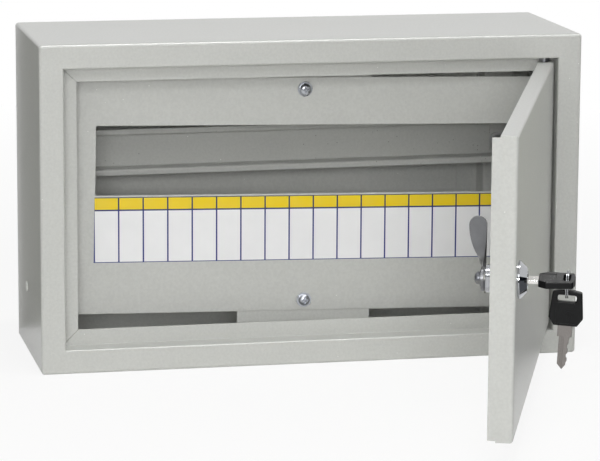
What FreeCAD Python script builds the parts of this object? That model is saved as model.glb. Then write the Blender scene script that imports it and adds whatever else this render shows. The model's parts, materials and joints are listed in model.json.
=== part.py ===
import FreeCAD, Part
import math
import os

# Steel wall enclosure for one row of modular devices, millimetres.
# The origin is the centre of the wall holes on the back face. +X is to the right, +Y goes into
# the wall, +Z is up, and the door side is the low end of Y. The door is built shut, with the
# lock and keys on it, and is then swung open about its hinge line.

V = FreeCAD.Vector

# Case
case_width = 407.0
case_height = 243.5
case_depth = 137.0
case_sheet = 1.2
case_bend = 2.5
rim_width = 18.0
rim_bend = 1.5
return_depth = 17.4
ledge_width = 11.5
ledge_mitre_inner = 0.15
ledge_mitre_top = 0.5
ledge_mitre_bottom = 0.3
wall_hole_radius = 3.5
wall_hole_span_x = 260.0
wall_hole_span_z = 196.0
knockout_radius = 14.0
knockout_kerf = 0.5
knockout_nib = 2.0
knockout_count = 3
knockout_pitch = 95.0
knockout_setback = 48.0

# Door
door_sheet = 1.2
door_bend = 2.2
door_gap_free = 2.5
door_gap_hinge = 3.0
door_gap_ends = 3.2
door_flange = 11.5
door_free_flange = 16.9
door_free_step = 1.2
door_open_angle = 69.8

# Hinge pins
pin_radius = 2.5
pin_from_edge = 6.0
pin_setback = 7.4
pin_head_radius = 4.2
pin_head_height = 1.5
pin_tail = 2.4
collar_play = 0.3

# Inner cover with its window and marking strip
cover_setback = 35.4
cover_sheet = 1.2
cover_side_margin = 17.5
cover_end_margin = 33.15
cover_lift = 0.4
cover_lean = 1.15
cover_slot_offset = 0.8
cover_corner = 2.0
cover_side_flange = 10.0
module_pitch = 17.5
window_play = 0.65
window_side_margin = 28.0
window_height = 52.1
window_low = 1.2
window_corner = 1.0
strip_left = 0.5
strip_cell = 18.45
strip_height = 49.2
strip_drop = 1.36
strip_thickness = 0.3

# Cover brackets and fasteners
bracket_width = 102.0
bracket_sheet = 1.5
bracket_bend = 1.5
bracket_beyond_screw = 15.8
bracket_foot = 25.0
cover_screw_margin = 8.5
screw_radius = 2.45
screw_hole_play = 0.3
screw_head_radius = 4.3
screw_head_height = 3.1
screw_recess_width = 1.1
screw_recess_share = 0.58
screw_recess_depth = 1.7
cover_screw_tail = 7.5
washer_radius = 5.6
washer_thickness = 1.0
nut_flats = 8.0
nut_height = 4.0
thread_play = 0.05

# Mounting rail, its stand-offs and uprights
rail_height = 35.0
rail_inner = 25.4
rail_depth = 15.0
rail_sheet = 1.0
rail_bend = 0.8
rail_end_gap = 15.5
rail_above_window = 2.05
rail_lean = 0.3
module_shoulder = 44.4
rail_slot_length = 12.0
rail_slot_width = 5.6
rail_screw_inset = 38.3
rail_screw_drop = 2.4
rail_washer_radius = 6.5
rail_plate_width = 12.4
rail_plate_thickness = 1.5
rail_plate_clear = 1.9
rail_plate_corner = 2.0
upright_inset = 30.8
upright_depth = 20.0
upright_face = 24.0
upright_foot = 16.0
upright_sheet = 1.2
upright_bend = 1.2
upright_end_gap = 8.5
standoff_height = 24.0
standoff_sheet = 1.5
standoff_bend = 1.0
standoff_seat = 9.0
standoff_web_gap = 5.5
standoff_foot = 11.0
rail_screw_tail = 5.5

# Terminal bars
bar_length = 104.0
bar_section = 9.0
bar_depth = 6.5
bar_terminals = 10
bar_wire_radius = 2.4
bar_screw_radius = 2.0
bar_screw_head_radius = 2.8
bar_screw_head_height = 1.8
bar_screw_slot_width = 0.8
bar_screw_slot_depth = 1.0
holder_width = 12.0
holder_height = 15.0
holder_depth = 24.0
holder_foot = 9.0
holder_foot_thickness = 3.0
holder_fillet = 1.0
bar_from_end = 34.5
bar_x = -30.0

# Earth studs
stud_radius = 3.0
stud_length = 16.0
stud_pad_radius = 5.0
stud_pad_height = 1.2
stud_washer_radius = 6.0
stud_washer_thickness = 1.2
stud_nut_flats = 10.0
stud_nut_height = 5.0
case_stud_x = 92.0
case_stud_from_bottom = 22.5
door_stud_from_hinge = 45.0
door_stud_from_bottom = 30.0

# Blind plug in the left side
plug_head_radius = 4.0
plug_head_height = 1.0
plug_flat_radius = 1.2
plug_stem_radius = 3.0
plug_barb_radius = 3.6
plug_barb_height = 2.0
plug_setback = 82.1
plug_from_bottom = 50.5

# Lock
lock_from_edge = 23.3
lock_above_middle = 3.2
bezel_radius = 12.6
bezel_rim = 1.3
bezel_face_radius = 8.0
bezel_height = 6.0
barrel_radius = 9.0
barrel_length = 21.0
barrel_flats = 16.4
cylinder_radius = 6.0
cylinder_play = 0.05
cylinder_recess = 0.6
lock_nut_flats = 23.0
lock_nut_height = 4.0
lock_washer_radius = 12.8
lock_washer_thickness = 0.8
stop_washer_radius = 8.0
stop_washer_thickness = 1.0
stop_gap = 0.2
spindle_side = 7.0
spindle_play = 0.05
keyway_width = 7.4
keyway_height = 2.6
key_tip_gap = 0.8

# Cam, a paddle that twists away from its hub
cam_hub_radius = 8.5
cam_thickness = 1.8
cam_reach = 42.2
cam_paddle_width = 11.7
cam_paddle_centre = 26.3
cam_screw_head_radius = 4.4
cam_screw_head_height = 3.4
cam_screw_radius = 1.9
cam_screw_tail = 6.5
cam_washer_radius = 5.5
cam_washer_thickness = 1.0

# Keys and ring
key_turn = 7.0
key_seat_gap = 0.3
key_blade_length = 21.9
key_blade_width = 6.9
key_thickness = 2.2
key_shoulder_length = 7.3
key_shoulder_width = 9.4
key_tang = 8.0
key_point = 3.6
bow_length = 23.9
bow_thickness = 4.7
bow_top_half = 9.6
bow_wide_half = 11.2
bow_neck_half = 7.6
bow_wide_from_neck = 5.2
bow_edge = 0.8
bow_hole_width = 12.3
bow_hole_height = 4.3
bow_hole_corner = 1.4
bow_hole_from_top = 5.6
bow_panel_length = 9.8
bow_panel_width = 13.4
bow_panel_depth = 0.35
bow_panel_from_neck = 1.6
ring_radius = 8.6
ring_wire = 0.85
hang_gap = 0.3
spare_tilt = 3.2

# Places that follow from the sizes above
front_y = -case_depth
opening_half_x = case_width / 2 - rim_width
opening_half_z = case_height / 2 - rim_width
ledge_y = front_y + return_depth
door_left_x = -opening_half_x + door_gap_free
door_right_x = opening_half_x - door_gap_hinge
door_half_z = opening_half_z - door_gap_ends
hinge_x = door_right_x - pin_from_edge
hinge_y = front_y + pin_setback
cover_y = front_y + cover_setback
cover_back_y = cover_y + cover_sheet
cover_width = case_width - 2 * cover_side_margin
cover_height = case_height - 2 * cover_end_margin
cover_screw_span = cover_height - 2 * cover_screw_margin
cover_screw_shift = cover_screw_span / 2 * math.sin(math.radians(cover_lean))
module_count = int((cover_width - 2 * window_side_margin) / module_pitch)
window_half_x = module_count * module_pitch / 2 + window_play
strip_cells = module_count - 1
rail_front_y = cover_back_y + module_shoulder
rail_back_y = rail_front_y + rail_depth
rail_length = case_width - 2 * rail_end_gap
rail_z = window_low + window_height / 2 + rail_above_window
rail_screw_x = case_width / 2 - rail_screw_inset
rail_screw_z = rail_z - rail_screw_drop
rail_rise = rail_screw_x * math.tan(math.radians(rail_lean))
upright_x = case_width / 2 - upright_inset
upright_height = case_height - 2 * upright_end_gap
upright_face_y = -case_sheet - upright_depth
bar_z = case_height / 2 - bar_from_end
case_stud_z = case_stud_from_bottom - case_height / 2
plug_z = plug_from_bottom - case_height / 2
lock_x = door_left_x + lock_from_edge
lock_z = lock_above_middle
bezel_face_y = front_y - bezel_height
cylinder_face_y = bezel_face_y + cylinder_recess
shoulder_y = cylinder_face_y - key_seat_gap
bow_neck_y = shoulder_y - key_shoulder_length
bow_half_at_hole = bow_top_half + (bow_wide_half - bow_top_half) * bow_hole_from_top / (
    bow_length - bow_wide_from_neck)
bow_bar = bow_half_at_hole - bow_hole_width / 2
ring_inner = ring_radius - ring_wire
bar_reach = bow_hole_width / 2 + bow_bar / 2
turn_cos = math.cos(math.radians(key_turn))
turn_sin = math.sin(math.radians(key_turn))
bar_top_z = lock_z + (bar_reach + bow_bar / 2) * turn_sin + bow_thickness / 2 * turn_cos
ring_x = lock_x + bar_reach * turn_cos
ring_y = bow_neck_y - bow_length + bow_hole_from_top
ring_z = bar_top_z + hang_gap - math.sqrt(ring_inner ** 2 - (bow_bar / 2) ** 2)
spare_hole_top_z = ring_z + hang_gap - math.sqrt(ring_inner ** 2 - (bow_thickness / 2) ** 2)


def box(x0, x1, y0, y1, z0, z1):
    """A box between two corners."""
    return Part.makeBox(x1 - x0, y1 - y0, z1 - z0, V(x0, y0, z0))


def rod_y(radius, x, z, y0, y1):
    """A cylinder along Y between two depths."""
    return Part.makeCylinder(radius, y1 - y0, V(x, y0, z), V(0, 1, 0))


def rod_z(radius, x, y, z0, z1):
    """A cylinder along Z between two heights."""
    return Part.makeCylinder(radius, z1 - z0, V(x, y, z0), V(0, 0, 1))


def hexagon_y(flats, x, z, y0, y1):
    """A hexagonal prism along Y, flats across its top and bottom."""
    corner = flats / math.sqrt(3)
    turn = math.radians(60)
    points = [V(x + corner * math.cos(i * turn), y0, z + corner * math.sin(i * turn)) for i in range(7)]
    return Part.Face(Part.makePolygon(points)).extrude(V(0, y1 - y0, 0))


def runs_along(edge, axis):
    """True for a straight edge along X, Y or Z (axis 0, 1 or 2)."""
    if not isinstance(edge.Curve, Part.Line):
        return False
    return abs(abs(edge.tangentAt(edge.FirstParameter)[axis]) - 1) < 1e-6


def rounded_wire(corners):
    """A closed wire through (point, radius) corners, each rounded by its radius."""
    cuts = []
    for i, (point, radius) in enumerate(corners):
        before = (corners[i - 1][0] - point).normalize()
        after = (corners[(i + 1) % len(corners)][0] - point).normalize()
        if radius <= 0:
            cuts.append((point, None, point))
            continue
        half_angle = before.getAngle(after) / 2
        reach = radius / math.tan(half_angle)
        middle = (before + after).normalize() * (radius / math.sin(half_angle) - radius)
        cuts.append((point + before * reach, point + middle, point + after * reach))
    edges = []
    for i, (start, middle, end) in enumerate(cuts):
        if middle is not None:
            edges.append(Part.Arc(start, middle, end).toShape())
        following = cuts[(i + 1) % len(cuts)][0]
        if (following - end).Length > 1e-6:
            edges.append(Part.LineSegment(end, following).toShape())
    return Part.Wire(edges)


def folded_sheet(path, thickness, bend, place, along):
    """A folded sheet: its face follows a path of (u, v) points, and its thickness lies to the left."""
    points = [V(u, v, 0) for u, v in path]
    left = V(0, 0, 1)
    runs = [(b - a).normalize() for a, b in zip(points, points[1:])]
    sides = [left.cross(run) for run in runs]
    far = [points[0] + sides[0] * thickness]
    near_radii = [0.0]
    far_radii = [0.0]
    for i in range(1, len(points) - 1):
        mitre = (sides[i - 1] + sides[i]).normalize()
        far.append(points[i] + mitre * (thickness / mitre.dot(sides[i])))
        turns_left = runs[i - 1].cross(runs[i]).z > 0
        near_radii.append(bend + thickness if turns_left else bend)
        far_radii.append(bend if turns_left else bend + thickness)
    far.append(points[-1] + sides[-1] * thickness)
    near_radii.append(0.0)
    far_radii.append(0.0)
    corners = list(zip(points, near_radii)) + list(zip(reversed(far), reversed(far_radii)))
    wire = rounded_wire([(place(p.x, p.y), r) for p, r in corners])
    return Part.Face(wire).extrude(along)


def in_xy(z):
    """Places (u, v) as X and Y at one height."""
    return lambda u, v: V(u, v, z)


def in_yz(x):
    """Places (u, v) as Y and Z at one X."""
    return lambda u, v: V(x, u, v)


def slot_y(x, z, length, width, y0, y1):
    """A slot along X with round ends, as a solid between two depths."""
    half_l, half_w = length / 2, width / 2
    places = [(-half_l, -half_w), (half_l, -half_w), (half_l, half_w), (-half_l, half_w)]
    outline = rounded_wire([(V(x + u, y0, z + v), half_w) for u, v in places])
    return Part.Face(outline).extrude(V(0, y1 - y0, 0))


def turned_y(profile, x, z):
    """A turned piece about an axis along Y, from (radius, y) points."""
    points = [V(x + r, y, z) for r, y in profile]
    return Part.Face(Part.makePolygon(points + points[:1])).revolve(V(x, 0, z), V(0, 1, 0), 360)


def pan_screw(x, z, seat_y, head_radius, head_height, shank_radius, tail, slotted=False):
    """A pan-head screw that drives along +Y; its head sits on seat_y and has a cross or a slot."""
    edge = head_height * 0.45
    bulge = Part.Arc(
        V(x + head_radius, seat_y - edge, z),
        V(x + head_radius * 0.72, seat_y - head_height * 0.86, z),
        V(x, seat_y - head_height, z)).toShape()
    corners = [V(x, seat_y - head_height, z), V(x, seat_y + tail, z), V(x + shank_radius, seat_y + tail, z),
               V(x + shank_radius, seat_y, z), V(x + head_radius, seat_y, z),
               V(x + head_radius, seat_y - edge, z)]
    sides = [Part.LineSegment(a, b).toShape() for a, b in zip(corners, corners[1:])]
    screw = Part.Face(Part.Wire(sides + [bulge])).revolve(V(x, 0, z), V(0, 1, 0), 360)
    top = seat_y - head_height - 1
    if slotted:
        half, floor = bar_screw_slot_width / 2, seat_y - head_height + bar_screw_slot_depth
        return screw.cut(box(x - half, x + half, top, floor, z - head_radius - 1, z + head_radius + 1))
    floor = seat_y - head_height + screw_recess_depth
    long, wide = head_radius * screw_recess_share, screw_recess_width / 2
    cross = box(x - long, x + long, top, floor, z - wide, z + wide).fuse(
        box(x - wide, x + wide, top, floor, z - long, z + long))
    return screw.cut(cross)


def washer(x, z, radius, hole, y0, y1):
    """A flat washer along Y."""
    return rod_y(radius, x, z, y0, y1).cut(rod_y(hole, x, z, y0 - 1, y1 + 1))


def nut(x, z, flats, hole, y0, y1):
    """A hexagonal nut along Y."""
    return hexagon_y(flats, x, z, y0, y1).cut(rod_y(hole, x, z, y0 - 1, y1 + 1))


def joined(shapes):
    """Separate solids of one kind in one node."""
    return Part.makeCompound(shapes)


def swung(shape):
    """Swings what is built on the shut door to its open place."""
    moved = shape.copy()
    moved.rotate(V(hinge_x, hinge_y, 0), V(0, 0, 1), door_open_angle)
    return moved


def leaned(shape):
    """Tilts the cover in its screw slots, its left side up."""
    moved = shape.copy()
    moved.rotate(V(0, 0, 0), V(0, 1, 0), cover_lean)
    return moved


def keyed(shape):
    """Turns what goes round with the key by the key's angle."""
    moved = shape.copy()
    moved.rotate(V(lock_x, 0, lock_z), V(0, -1, 0), key_turn)
    return moved


def cover_screw_places():
    """Centres of the two cover screws, (x, z)."""
    return [(0.0, -cover_screw_span / 2), (0.0, cover_screw_span / 2)]


def knockout_places():
    """Centres of the bottom knock-outs, (x, y)."""
    first = -(knockout_count - 1) / 2
    return [((first + i) * knockout_pitch, -knockout_setback) for i in range(knockout_count)]


def make_case_shell():
    """Sides, front rim, return and ledge: one folded and welded body, open at the back."""
    half_x, half_z = case_width / 2, case_height / 2
    outer = box(-half_x, half_x, front_y, 0, -half_z, half_z)
    outer = outer.makeFillet(case_bend, [e for e in outer.Edges if e.BoundBox.YMin < -1])
    inner = box(-half_x + case_sheet, half_x - case_sheet, front_y + case_sheet, case_sheet,
                -half_z + case_sheet, half_z - case_sheet)
    inner = inner.makeFillet(case_bend - case_sheet, [e for e in inner.Edges if e.BoundBox.YMin < -1])
    ledge_back = ledge_y + case_sheet
    frame = box(-opening_half_x - case_sheet, opening_half_x + case_sheet, front_y, ledge_back,
                -opening_half_z - case_sheet, opening_half_z + case_sheet)
    recess = box(-opening_half_x, opening_half_x, front_y - 1, ledge_y, -opening_half_z, opening_half_z)
    clear_x, clear_z = opening_half_x - ledge_width, opening_half_z - ledge_width
    aperture = box(-clear_x, clear_x, front_y - 1, ledge_back + 1, -clear_z, clear_z)
    shell = outer.cut(inner).fuse(frame).cut(recess).cut(aperture).removeSplitter()
    rim_edges = [e for e in shell.Edges
                 if e.BoundBox.YMax < front_y + 0.01 and e.BoundBox.YMin > front_y - 0.01
                 and abs(e.CenterOfMass.x) < opening_half_x + 0.01
                 and abs(e.CenterOfMass.z) < opening_half_z + 0.01]
    shell = shell.makeFillet(rim_bend, rim_edges)
    for z0, z1 in ((opening_half_z - 1, opening_half_z + case_sheet + 1),
                   (-opening_half_z - case_sheet - 1, -opening_half_z + 1)):
        shell = shell.cut(rod_z(pin_radius + thread_play, hinge_x, hinge_y, z0, z1))
    for sx in (-1, 1):
        for sz in (-1, 1):
            shell = shell.cut(ledge_mitre(sx, sz))
    for x, y in knockout_places():
        shell = shell.cut(knockout_kerfs(x, y))
    hole = Part.makeCylinder(plug_stem_radius + thread_play, 2 * case_sheet + 2,
                             V(-half_x - 1, front_y + plug_setback, plug_z), V(1, 0, 0))
    return shell.cut(hole)


def ledge_mitre(sx, sz):
    """The open mitre in one corner of the ledge: a wedge that widens towards the rim."""
    y0, y1 = ledge_y - 1, ledge_y + case_sheet + 1
    inner = V(sx * (opening_half_x - ledge_width), y0, sz * (opening_half_z - ledge_width))
    outer = V(sx * opening_half_x, y0, sz * opening_half_z)
    along = (outer - inner).normalize()
    side = along.cross(V(0, 1, 0))
    near = side * (ledge_mitre_inner / 2)
    far = side * ((ledge_mitre_top if sz > 0 else ledge_mitre_bottom) / 2)
    points = [inner - along + near, inner - along - near, outer - far, outer + far]
    wedge = Part.Face(Part.makePolygon(points + points[:1])).extrude(V(0, y1 - y0, 0))
    return wedge.common(box(-opening_half_x, opening_half_x, y0, y1, -opening_half_z, opening_half_z))


def knockout_kerfs(x, y):
    """The cut round one knock-out in the bottom wall, with the nibs left standing."""
    z0, z1 = -case_height / 2 - 1, -case_height / 2 + case_sheet + 1
    kerf = rod_z(knockout_radius + knockout_kerf, x, y, z0, z1).cut(rod_z(knockout_radius, x, y, z0, z1))
    reach, half = knockout_radius + 2, knockout_nib / 2
    for i in range(3):
        nib = box(x, x + reach, y - half, y + half, z0, z1)
        nib.rotate(V(x, y, 0), V(0, 0, 1), 30 + 120 * i)
        kerf = kerf.cut(nib)
    return kerf


def make_back_panel():
    """Back sheet welded inside the sides, with the four wall holes."""
    half_x, half_z = case_width / 2 - case_sheet, case_height / 2 - case_sheet
    panel = box(-half_x, half_x, -case_sheet, 0, -half_z, half_z)
    panel = panel.makeFillet(case_bend - case_sheet, [e for e in panel.Edges if runs_along(e, 1)])
    for sx in (-1, 1):
        for sz in (-1, 1):
            panel = panel.cut(rod_y(wall_hole_radius, sx * wall_hole_span_x / 2,
                                    sz * wall_hole_span_z / 2, -case_sheet - 1, 1))
    return panel


def make_door_panel():
    """Folded door tray with a deeper flange on its free edge."""
    tray_back = front_y + door_flange
    outer = box(door_left_x, door_right_x, front_y, tray_back, -door_half_z, door_half_z)
    outer = outer.makeFillet(door_bend, [e for e in outer.Edges if e.BoundBox.YMax < front_y + 0.01])
    inner = box(door_left_x + door_sheet, door_right_x - door_sheet, front_y + door_sheet, tray_back + 1,
                -door_half_z + door_sheet, door_half_z - door_sheet)
    inner = inner.makeFillet(door_bend - door_sheet,
                             [e for e in inner.Edges if e.BoundBox.YMax < front_y + door_sheet + 0.01])
    lip = box(door_left_x, door_left_x + door_sheet, tray_back - 1, front_y + door_free_flange,
              -door_half_z + door_free_step, door_half_z - door_free_step)
    door = outer.cut(inner).fuse(lip).removeSplitter()
    for z0, z1 in ((door_half_z - door_sheet - 1, door_half_z + 1),
                   (-door_half_z - 1, -door_half_z + door_sheet + 1)):
        door = door.cut(rod_z(pin_radius + thread_play, hinge_x, hinge_y, z0, z1))
    door = door.cut(barrel_blank(thread_play, front_y - 1, front_y + door_sheet + 1))
    return door


def barrel_blank(play, y0, y1):
    """The lock barrel's section, round with two flats, as a solid between two depths."""
    blank = rod_y(barrel_radius + play, lock_x, lock_z, y0, y1)
    half = barrel_flats / 2 + play
    keep = box(lock_x - half, lock_x + half, y0 - 1, y1 + 1, lock_z - 2 * barrel_radius,
               lock_z + 2 * barrel_radius)
    return blank.common(keep)


def make_hinge_pin(side):
    """Riveted pin: head behind the rim, collar in the gap, tail through the door flange."""
    steps = [(pin_head_radius, case_sheet, case_sheet + pin_head_height),
             (pin_radius, 0.0, case_sheet),
             (pin_head_radius, collar_play - door_gap_ends, 0.0),
             (pin_radius, -door_gap_ends - door_sheet - pin_tail, collar_play - door_gap_ends)]
    pin = None
    for radius, low, high in steps:
        z0, z1 = sorted((side * (opening_half_z + low), side * (opening_half_z + high)))
        piece = rod_z(radius, hinge_x, hinge_y, z0, z1)
        pin = piece if pin is None else pin.fuse(piece)
    return pin.removeSplitter()


def make_inner_cover():
    """Flat cover with the module window, two screw slots and folded sides."""
    half_x, half_z = cover_width / 2, cover_height / 2
    back = cover_y + cover_side_flange
    path = [(-half_x, back), (-half_x, cover_y), (half_x, cover_y), (half_x, back)]
    cover = folded_sheet(path, cover_sheet, cover_sheet, in_xy(cover_lift - half_z), V(0, 0, cover_height))
    corner_cut = cover_corner + cover_sheet
    for sx in (-1, 1):
        for sz in (-1, 1):
            x0, x1 = sorted((sx * (half_x - corner_cut), sx * (half_x + 1)))
            z0, z1 = sorted((cover_lift + sz * (half_z - corner_cut), cover_lift + sz * (half_z + 1)))
            cover = cover.cut(box(x0, x1, cover_y + 2 * cover_sheet, back + 1, z0, z1))
    window = box(-window_half_x, window_half_x, cover_y - 1, cover_back_y + 1, window_low,
                 window_low + window_height)
    window = window.makeFillet(window_corner, [e for e in window.Edges if runs_along(e, 1)])
    cover = cover.cut(window)
    reach = screw_radius + screw_hole_play + cover_screw_shift + cover_slot_offset
    for x, z in cover_screw_places():
        cover = cover.cut(slot_y(x - cover_slot_offset, z, 2 * reach, 2 * (screw_radius + screw_hole_play),
                                 cover_y - 1, cover_back_y + 1))
    return leaned(cover)


def make_marking_strip():
    """Thin strip for circuit names, stuck on the cover under the window."""
    x0 = -window_half_x - strip_left
    z1 = window_low - strip_drop
    return leaned(box(x0, x0 + strip_cells * strip_cell, cover_y - strip_thickness, cover_y,
                      z1 - strip_height, z1))


def make_cover_bracket(side):
    """Angle welded to the top or bottom wall; the cover is screwed to its upright leg."""
    wall = side * (case_height / 2 - case_sheet)
    screw_z = side * cover_screw_span / 2
    tip = screw_z - side * bracket_beyond_screw
    path = [(cover_back_y + bracket_foot, wall), (cover_back_y, wall), (cover_back_y, tip)]
    if side < 0:
        path.reverse()
    bracket = folded_sheet(path, bracket_sheet, bracket_bend, in_yz(-bracket_width / 2),
                           V(bracket_width, 0, 0))
    return bracket.cut(rod_y(screw_radius + screw_hole_play, 0, screw_z, cover_back_y - 1,
                             cover_back_y + bracket_sheet + 1))


def make_cover_screws():
    """Two pan-head screws on their washers."""
    seat = cover_y - washer_thickness
    return joined([pan_screw(x, z, seat, screw_head_radius, screw_head_height, screw_radius,
                             washer_thickness + cover_screw_tail) for x, z in cover_screw_places()])


def make_cover_washers():
    """Flat washers under the cover screws."""
    return joined([washer(x, z, washer_radius, screw_radius + thread_play, cover_y - washer_thickness,
                          cover_y) for x, z in cover_screw_places()])


def make_cover_nuts():
    """Nuts welded behind the brackets."""
    y0 = cover_back_y + bracket_sheet
    return joined([nut(x, z, nut_flats, screw_radius + thread_play, y0, y0 + nut_height)
                   for x, z in cover_screw_places()])


def rail_screw_places():
    """Centres of the screws that hold the rail ends, (x, z)."""
    return [(-rail_screw_x, rail_screw_z - rail_rise), (rail_screw_x, rail_screw_z + rail_rise)]


def make_mounting_rail():
    """Top-hat rail with a slot at each end, a little higher on the right."""
    brim, inner, web_y = rail_height / 2, rail_inner / 2, rail_back_y - rail_sheet
    path = [(rail_front_y, brim), (rail_front_y, inner), (web_y, inner),
            (web_y, -inner), (rail_front_y, -inner), (rail_front_y, -brim)]
    path = [(y, rail_z + z) for y, z in path]
    rail = folded_sheet(path, rail_sheet, rail_bend, in_yz(-rail_length / 2), V(rail_length, 0, 0))
    rail.rotate(V(0, 0, rail_z), V(0, 1, 0), -rail_lean)
    for x, z in rail_screw_places():
        rail = rail.cut(slot_y(x, z, rail_slot_length, rail_slot_width, web_y - 1, rail_back_y + 1))
    return rail


def make_rail_plates():
    """Plates in the rail's channel that spread the load of its end screws."""
    y1 = rail_back_y - rail_sheet
    y0 = y1 - rail_plate_thickness
    half_w, half_h = rail_plate_width / 2, rail_inner / 2 - rail_plate_clear
    plates = []
    for x, z in rail_screw_places():
        middle = z + rail_screw_drop
        plate = box(x - half_w, x + half_w, y0, y1, middle - half_h, middle + half_h)
        plate = plate.makeFillet(rail_plate_corner, [e for e in plate.Edges if runs_along(e, 1)])
        plates.append(plate.cut(rod_y(screw_radius + screw_hole_play, x, z, y0 - 1, y1 + 1)))
    return joined(plates)


def make_upright(side):
    """Hat-section upright, welded to the back panel by its feet."""
    x = side * upright_x
    half, back = upright_face / 2, -case_sheet
    path = [(x - half - upright_foot, back), (x - half, back), (x - half, upright_face_y),
            (x + half, upright_face_y), (x + half, back), (x + half + upright_foot, back)]
    path = [(px, py - upright_sheet if py == back else py) for px, py in path]
    upright = folded_sheet(path, upright_sheet, upright_bend, in_xy(-upright_height / 2),
                           V(0, 0, upright_height))
    for hole_x, z in standoff_screw_places():
        upright = upright.cut(rod_y(screw_radius + screw_hole_play, hole_x, z, upright_face_y - 1,
                                    upright_face_y + upright_sheet + 1))
    return upright


def standoff_screw_places():
    """Centres of the screws that hold the stand-offs to the uprights, (x, z)."""
    x = rail_screw_x + standoff_web_gap + standoff_sheet + standoff_foot / 2
    return [(-x, rail_z - rail_rise), (x, rail_z + rail_rise)]


def make_standoff(side):
    """Z-shaped bracket: its foot lies on an upright and its seat carries one end of the rail."""
    web_x = rail_screw_x + standoff_web_gap
    foot_y = upright_face_y - standoff_sheet
    path = [(rail_screw_x - standoff_seat, rail_back_y), (web_x + standoff_sheet, rail_back_y),
            (web_x + standoff_sheet, foot_y), (web_x + standoff_sheet + standoff_foot, foot_y)]
    path = [(side * x, y) for x, y in path]
    if side < 0:
        path.reverse()
    z0 = rail_z + side * rail_rise - standoff_height / 2
    bracket = folded_sheet(path, standoff_sheet, standoff_bend, in_xy(z0), V(0, 0, standoff_height))
    for x, z in rail_screw_places():
        bracket = bracket.cut(rod_y(screw_radius + screw_hole_play, x, z, rail_back_y - 1, foot_y))
    for x, z in standoff_screw_places():
        bracket = bracket.cut(rod_y(screw_radius + screw_hole_play, x, z, foot_y - 1, upright_face_y + 1))
    return bracket


def rail_washer_y():
    """Front face of the washers under the rail screws."""
    return rail_back_y - rail_sheet - rail_plate_thickness - washer_thickness


def make_rail_screws():
    """Screws through the rail ends into the stand-offs."""
    seat = rail_washer_y()
    tail = rail_back_y + rail_screw_tail - seat
    return joined([pan_screw(x, z, seat, screw_head_radius, screw_head_height, screw_radius, tail)
                   for x, z in rail_screw_places()])


def make_rail_washers():
    """Washers under the rail screws."""
    y0 = rail_washer_y()
    return joined([washer(x, z, rail_washer_radius, screw_radius + thread_play, y0, y0 + washer_thickness)
                   for x, z in rail_screw_places()])


def make_rail_nuts():
    """Nuts inside the stand-offs."""
    y0 = rail_back_y + standoff_sheet
    return joined([nut(x, z, nut_flats, screw_radius + thread_play, y0, y0 + nut_height)
                   for x, z in rail_screw_places()])


def make_standoff_screws():
    """Screws that hold the stand-offs to the uprights."""
    seat = upright_face_y - standoff_sheet
    tail = standoff_sheet + upright_sheet + rail_screw_tail
    return joined([pan_screw(x, z, seat, screw_head_radius, screw_head_height, screw_radius, tail)
                   for x, z in standoff_screw_places()])


def make_standoff_nuts():
    """Nuts behind the faces of the uprights."""
    y0 = upright_face_y + upright_sheet
    return joined([nut(x, z, nut_flats, screw_radius + thread_play, y0, y0 + nut_height)
                   for x, z in standoff_screw_places()])


def bar_front_y():
    """Front face of the terminal bars."""
    return -case_sheet - holder_depth - bar_depth


def terminal_xs():
    """Terminal centres along a bar, kept clear of its two holders."""
    pitch = bar_length / (bar_terminals + 2)
    first = bar_x - pitch * (bar_terminals - 1) / 2
    return [first + i * pitch for i in range(bar_terminals)]


def make_terminal_bar(z):
    """Square bar with a wire hole and a screw hole at each terminal."""
    y0 = bar_front_y()
    half = bar_section / 2
    bar = box(bar_x - bar_length / 2, bar_x + bar_length / 2, y0, y0 + bar_depth, z - half, z + half)
    for x in terminal_xs():
        bar = bar.cut(rod_z(bar_wire_radius, x, y0 + bar_depth / 2, z - half - 1, z + half + 1))
        bar = bar.cut(rod_y(bar_screw_radius + thread_play, x, z, y0 - 1, y0 + bar_depth / 2))
    return bar


def make_terminal_screws(z):
    """Clamp screws of one bar, backed out to its front face."""
    y0 = bar_front_y()
    return joined([pan_screw(x, z, y0, bar_screw_head_radius, bar_screw_head_height, bar_screw_radius,
                             bar_depth / 2 - bar_wire_radius, slotted=True) for x in terminal_xs()])


def holder_xs():
    """Centres of the two holders of a bar."""
    reach = bar_length / 2 - holder_width / 2
    return [bar_x - reach, bar_x + reach]


def make_bar_holders(z):
    """Moulded posts that stand the bar off the back panel, each with a foot."""
    posts = []
    half_w, half_h = holder_width / 2, holder_height / 2
    top = -case_sheet - holder_depth
    for x in holder_xs():
        outline = [(V(x - half_w, top, z - half_h), 0.0),
                   (V(x - half_w, top, z + half_h), 0.0),
                   (V(x - half_w, -case_sheet - holder_foot_thickness, z + half_h), holder_fillet),
                   (V(x - half_w, -case_sheet - holder_foot_thickness, z + half_h + holder_foot), 0.0),
                   (V(x - half_w, -case_sheet, z + half_h + holder_foot), 0.0),
                   (V(x - half_w, -case_sheet, z - half_h), 0.0)]
        post = Part.Face(rounded_wire(outline)).extrude(V(holder_width, 0, 0))
        post = post.cut(rod_y(bar_screw_radius + thread_play, x, z + half_h + holder_foot / 2,
                              -case_sheet - holder_foot_thickness - 1, 0))
        posts.append(post)
    return joined(posts)


def make_holder_screws():
    """Self-tapping screws through the holders' feet into the back panel."""
    lift = holder_height / 2 + holder_foot / 2
    seat = -case_sheet - holder_foot_thickness
    return joined([pan_screw(x, z + lift, seat, bar_screw_head_radius + 0.6, bar_screw_head_height,
                             bar_screw_radius, holder_foot_thickness, slotted=True)
                   for z in (-bar_z, bar_z) for x in holder_xs()])


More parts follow.
